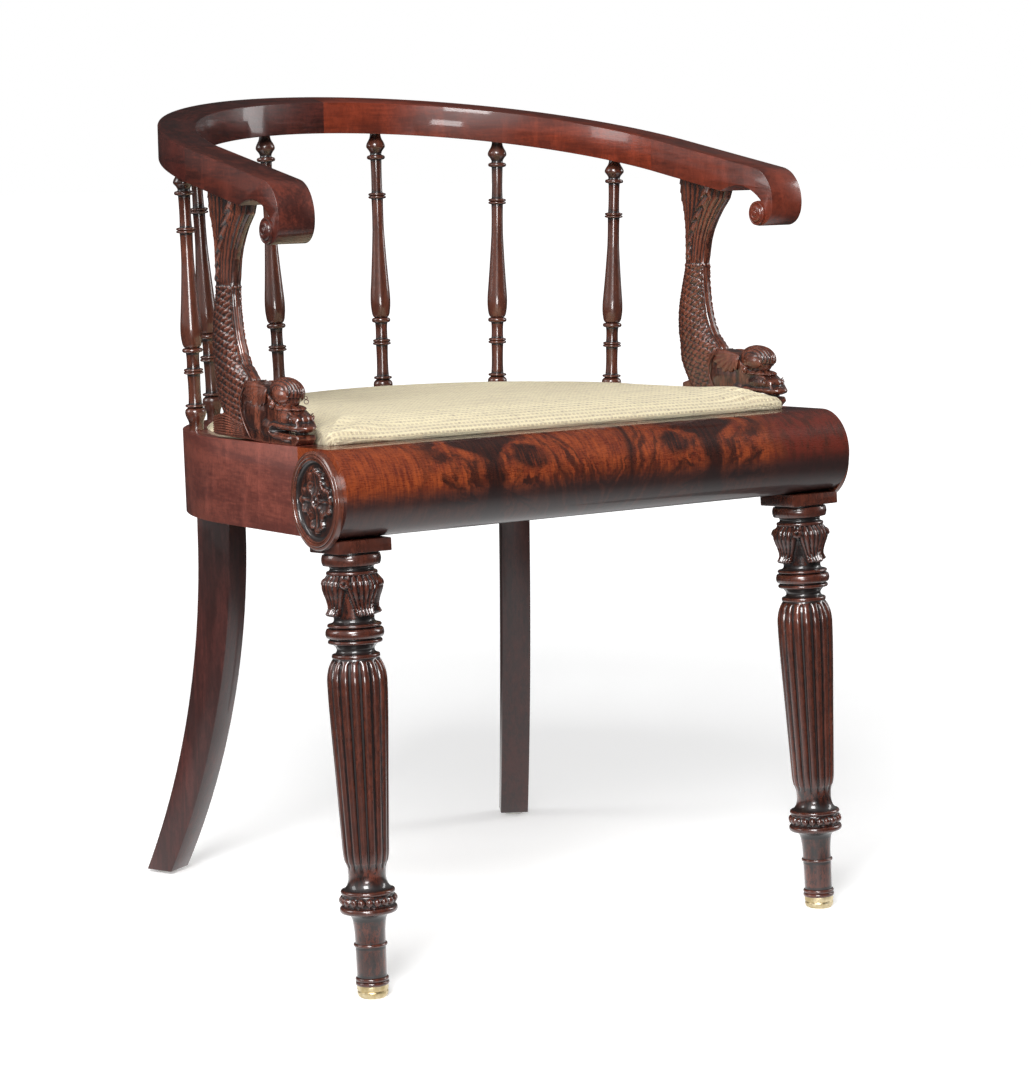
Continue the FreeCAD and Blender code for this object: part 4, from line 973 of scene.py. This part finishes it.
def dolphin_solids():
    """The smooth masses of the head, later melted into one carved form."""
    jaw = ((-62, 458), (-60, 486), (-66, 500), (-90, 508), (-118, 506), (-130, 497), (-146, 489),
           (-166, 487), (-176, 482), (-181, 476), (-182, 470.8), (-150, 470.6), (-138, 471),
           (-136.6, 469.2), (-138, 467.8), (-150, 467.6), (-179, 467.6), (-181, 463.6),
           (-174, 458.2), (-120, 456.6))
    parts = [plank(jaw, -8.8, 9, 3, 3)]
    for spot, size in (((0, -102, 481), (11.2, 37, 26)), ((0, -124, 470), (10.6, 22, 14)),
                       ((0, -156, 480), (10.8, 24, 9.4)), ((0, -143, 498), (9, 24, 12)),
                       ((0, -172.5, 473.5), (11.2, 15.5, 4.6)),
                       ((0, -159, 463.6), (10.8, 22, 4.4))):
        parts.append(ball(size, spot, 36, 26))
    for hand in (-1, 1):
        corner = smooth_line([(hand * 9.6, -170, 473.8), (hand * 10.2, -152, 473.6),
                              (hand * 10.2, -139, 474.2), (hand * 10, -132.6, 471.6),
                              (hand * 9.9, -132.2, 467.6), (hand * 9.9, -138, 465),
                              (hand * 9.8, -152, 464.6), (hand * 9.2, -168, 464.2)], 44)
        parts.append(rod(corner, [1] + [1.6] * 42 + [1]))
        parts.append(ball((5, 9, 4.8), (hand * 5.4, -170, 480)))
    plinth = ((-36, 456.3), (-36, 464.4), (-110, 463.4), (-110, 456.3))
    parts.append(plank(plinth, -9.9, -1, 0.6, 2))
    fin = ((-24, 456.6), (-24, 471.6), (-43, 477), (-78, 470.6), (-84, 456.8))
    parts.append(plank(fin, -2, 8.6, 1, 2))
    return parts


def melted(parts, voxel):
    """Fuse shapes into one even skin, as if carved from one block."""
    whole = bmesh.new()
    for part in parts:
        add_shape(whole, part)
    mesh = bpy.data.meshes.new("melt")
    whole.to_mesh(mesh)
    whole.free()
    body = put("melt", mesh)
    shape = bmesh.new()
    shape.from_mesh(even_skin(body, voxel))
    bpy.data.objects.remove(body)
    ops.smooth_vert(shape, verts=shape.verts, factor=0.5, use_axis_x=True,
                    use_axis_y=True, use_axis_z=True)
    return shape


def brow_strands():
    """The combed dome over the eyes: locks that run forward and hang down over the front."""
    shape = ball(segments=120, rings=80)
    shape.transform(turn(90, "X"))
    for vert in shape.verts:
        x, y, z = vert.co
        lock = abs(cos(pi * (x * 5 + 0.5 * z * x)))
        lift = 1 + 0.062 * (lock ** 0.8 - 0.6) * eased(-0.35, 0.1, z - y * 0.4)
        under = 0.55 if z < -0.3 else 1
        vert.co = (x * lift * 10.4, y * lift * 25 - 147, z * lift * 12.2 * under + 501.8)
    return shape


def face_details(hand):
    """Eyelid, eye, nostril and gill leaf on one side of the head."""
    lid = ball((4.6, 12.8, 6.7), segments=36, rings=26)
    lid.transform(shift(hand * 7.2, -149.8, 499.6) @ turn(4, "X"))
    parts = [lid, ball((2.5, 2.5, 2.5), (hand * 9.6, -137.8, 491.4))]
    parts.append(rod([(hand * 10.2, -137.8 + 3.2 * cos(t), 491.4 + 3.2 * sin(t))
                      for t in steps(0, tau, 20)], [0.75] * 20, 8))
    parts.append(rod([(hand * (10.6 - 0.05 * t), -172.5 + (0.7 + t * 0.28) * cos(t),
                       481.6 + (0.7 + t * 0.28) * sin(t)) for t in steps(0, 8, 20)],
                     [0.55] * 20, 6))
    hub = Vector((hand * 8.4, -128, 503.5))
    for (y, z), wide in (((-89, 503), 3.8), ((-87, 497), 4.2), ((-92.5, 491.5), 4.4),
                         ((-102, 488), 4.3), ((-113, 488), 3.9), ((-122, 490), 3.2)):
        tip = Vector((hand * 10.4, y, z))
        bow = (hub + tip) / 2 + Vector((hand * 1.6, 0, 1.2))
        path = smooth_line([hub, bow, tip], 14)
        shares = [0.25 + 0.75 * sin(pi * 0.5 * min(1, t * 1.25))
                  for t in steps(0, 1, 14)]
        shares[-2:] = [0.72, 0.3]
        lobe = rod(path, [wide * share for share in shares], 14)
        for vert in lobe.verts:
            vert.co.x = hand * 10.2 + (vert.co.x - hand * 10.2) * 0.36
        parts += [lobe, rod(path[2:], [0.45] * 12, 6)]
    return parts


def wavy_leaf():
    """The fleshy fold in three lumps between brow and muzzle."""
    shape = ball(segments=96, rings=20)
    for vert in shape.verts:
        angle = atan2(vert.co.x, vert.co.y)
        lump = abs(cos(angle * 4.5))
        swell_out = 1 + 0.1 * lump ** 0.7
        vert.co = (vert.co.x * 10.3 * swell_out, vert.co.y * 20.5 * swell_out - 151,
                   vert.co.z * (2.2 + 1.1 * lump) + 488.4)
    return shape


def front_curls():
    """Two small curls that stand off the brow."""
    curls = []
    for y, z, reach in ((-164.6, 497.2, 1.2), (-165.4, 494, 1.8)):
        curls.append(rod([(-8.2 + reach * cos(t) * 0.9, y + reach * cos(t) * 0.5,
                           z + reach * sin(t)) for t in steps(0, tau, 18)],
                         [0.32] * 18, 6))
    return curls


def fin_ribs():
    """Ribs of the side fin, which draw together towards the front."""
    ribs = []
    for share in steps(0, 1, 8):
        back = Vector((8.7, -24.4, 458.8 + share * 12.4))
        middle = Vector((9.2, -46, 459.2 + share * 16))
        front = Vector((9, -82, 460.2 + share * 9.6))
        ribs.append(rod(smooth_line([back, middle, front], 14),
                        [0.8] + [1.1] * 5 + [0.95] * 4 + [0.7] * 3 + [0.4], 8))
    return ribs


def make_dolphins():
    head = melted(dolphin_solids(), 0.75)
    for vert in head.verts:
        vert.co.z = max(vert.co.z, 456.4)
    details = [brow_strands(), wavy_leaf(), *face_details(1), *face_details(-1), *front_curls(),
               *fin_ribs()]
    collar = smooth_line([(9.4, -91, 508), (10.5, -81, 496), (10.7, -79.5, 486),
                          (10.4, -84, 474), (9.6, -96, 459)], 20)
    for hand in (-1, 1):
        details.append(rod([(hand * x, y, z) for x, y, z in collar], [0.4] + [0.7] * 18 + [0.4], 8))
    for part in details:
        add_shape(head, part)
    add_shape(head, make_stem())
    for side, sign in SIDES:
        shape = head.copy()
        if side == "right":
            for vert in shape.verts:
                if vert.co.y < -85:
                    vert.co.y = vert.co.y * 0.94 - 5.1
        shape.transform(Matrix.Diagonal((sign, 1, 1, 1)) @ shift(250.3, 0, 0))
        finish_piece(f"carved_dolphin_{side}", shape, carved_wood, [f"dolphin_{side}"],
                     hollows=CARVED)
    head.free()


# Upholstered seat

SWELL_FRAMES = 16
SWELL_LIMIT = 0.003


def swell(piece):
    """Let the stuffing push the cover out, held along its tacked edge."""
    cover = piece.modifiers.new("swell", "CLOTH")
    settings = cover.settings
    settings.use_pressure = True
    settings.uniform_pressure_force = 4
    settings.effector_weights.gravity = 0
    settings.quality = 5
    settings.vertex_group_mass = "tacked"
    for number in range(1, SWELL_FRAMES + 1):
        scene.frame_set(number)
    result = applied(piece)
    piece.modifiers.remove(cover)
    for old, new in zip(piece.data.vertices, result.vertices):
        move = new.co - old.co
        old.co += move * min(1, SWELL_LIMIT / max(move.length, 1e-9))
    bpy.data.meshes.remove(result)
    scene.frame_set(1)


def make_cushion():
    """The stuffed cover: held at the rail, full over its edge, a little crowned on top."""
    shape = bmesh.new()
    shape.from_mesh(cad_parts["cushion"].data)
    shape.transform(TO_MILLIMETRES)
    pad = finish_piece("woven_seat_pad", shape, cloth, ["cushion"],
                       body="drop_in_seat", crease=180, merge=0.01)
    even = even_skin(pad, 0.0042)
    pad.modifiers.clear()
    pad.data = even
    even.name = "woven_seat_pad"
    even.shade_smooth()
    if not even.materials:
        even.materials.append(cloth)
    to_seat = SEAT.inverted() @ TO_MILLIMETRES
    from_seat = to_seat.inverted()
    tacked = pad.vertex_groups.new(name="tacked")
    outward = [to_seat.to_3x3().normalized() @ vert.normal for vert in even.vertices]
    for vert, normal in zip(even.vertices, outward):
        local = to_seat @ vert.co
        if local.z > 72:
            local.z = 72 + (local.z - 72) * 0.82
        full = eased(70.5, 74, local.z) * (1 - 0.75 * eased(76, 91, local.z))
        corner = eased(165, 215, abs(local.x)) * eased(85, 45, local.y)
        local.z += 4.5 * corner * eased(72, 80, local.z)
        local.y -= full * 10.5 * eased(52, 30, local.y) * max(0, -normal.y)
        wider = full * (1.2 + 3.4 * eased(36, 29, local.y))
        local.x += copysign(wider, local.x) * abs(normal.x)
        if local.z < 75:
            tacked.add([vert.index], 1, "REPLACE")
        vert.co = from_seat @ local
    swell(pad)
    pad.vertex_groups.clear()
    weft = even.attributes.new("weft", "FLOAT", "POINT")
    for vert, item in zip(even.vertices, weft.data):
        local = to_seat @ vert.co
        item.value = local.y - 0.8 * max(0, 84 - local.z)
    rounder = pad.modifiers.new("round", "SUBSURF")
    rounder.levels = rounder.render_levels = 1


# Floor

def make_floor():
    shape = bmesh.new()
    ops.create_grid(shape, x_segments=2, y_segments=2, size=30)
    mesh = bpy.data.meshes.new("studio_floor")
    shape.to_mesh(mesh)
    shape.free()
    look = Look("floor_paper")
    x, y, z = look.parts()
    distance = look.reach(x, y)
    away, near = look.span(distance, 0.9, 3), look.span(distance, 0.95, 0.35)
    seen = look.add("LightPath", output="Is Camera Ray")
    glossy = look.add("LightPath", output="Is Glossy Ray")
    pale = 0.84 + look.grain((1, 1, 1), 3, 2) * 0.02
    shade = 0.4 + (pale - 0.4) * seen - glossy * 0.34
    glow = (0.36 + away * 0.5) * seen + glossy * near
    look.feed(look.shader, {"Base Color": look.joined(shade, shade, shade),
                            "Roughness": 0.9, "Specular IOR Level": 0,
                            "Emission Color": look.joined(glow, glow, glow),
                            "Emission Strength": 1})
    mesh.materials.append(look.material)
    put("studio_floor", mesh)


class Sky(Look):
    """The studio around the chair, made with the same methods as a finish."""

    def __init__(self):
        scene.world = bpy.data.worlds.new("studio")
        scene.world.use_nodes = True
        self.tree = scene.world.node_tree


def light_studio():
    """White to the camera, dim and uneven to polished wood, level everywhere else."""
    sky = Sky()
    x, y, z = sky.parts(sky.add("TexCoord", output="Generated"))
    left = sky.span(x, -0.25, -0.8)
    right = sky.span(x, 0.5, 0.95)
    above = sky.span(z, 0.35, 0.85)
    shine = 0.03 + left * 0.42 + right * 0.2 + above * 0.12
    glossy = sky.add("LightPath", output="Is Glossy Ray")
    seen = sky.add("LightPath", output="Is Camera Ray")
    level = sky.sum("MAXIMUM", 0.34 + (shine - 0.34) * glossy, seen)
    sky.feed(sky.tree.nodes["Background"], {"Strength": level, "Color": (1, 1, 1, 1)})
    seat_height = (0, 0, 0.5)
    soft_box("key_box", (-2, -2.2, 2.5), seat_height, 1.35, 1.5, 136)
    soft_box("fill_box", (2.9, -0.7, 1.6), seat_height, 0.8, 1.7, 26)
    soft_box("rim_box", (-2.5, 1.2, 1.7), seat_height, 1, 1.5, 22)
    # Only polish shows this one
    soft_box("sheen_box", (-1.85, -2.75, 0.62), (0, 0, 0.62), 0.9, 0.5, 24).visible_diffuse = False


place_camera()
light_studio()
make_floor()
make_rails()
make_front_legs()
make_spindles()
make_roundels()
make_dolphins()
make_cushion()

# Plain pieces keep their CAD shape
PLAIN = {
    jute: ("webbing",),
    steel: ("rear_glide_left", "rear_glide_right"),
    beech: ("corner_block_left", "corner_block_right",
            *(f"seat_board_{side}" for side in ("front", "left", "right", "back"))),
}
for finish, nodes in PLAIN.items():
    for node in nodes:
        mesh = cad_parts[node].data
        mesh.materials.clear()
        mesh.materials.append(finish)

scene.view_settings.view_transform = "Standard"
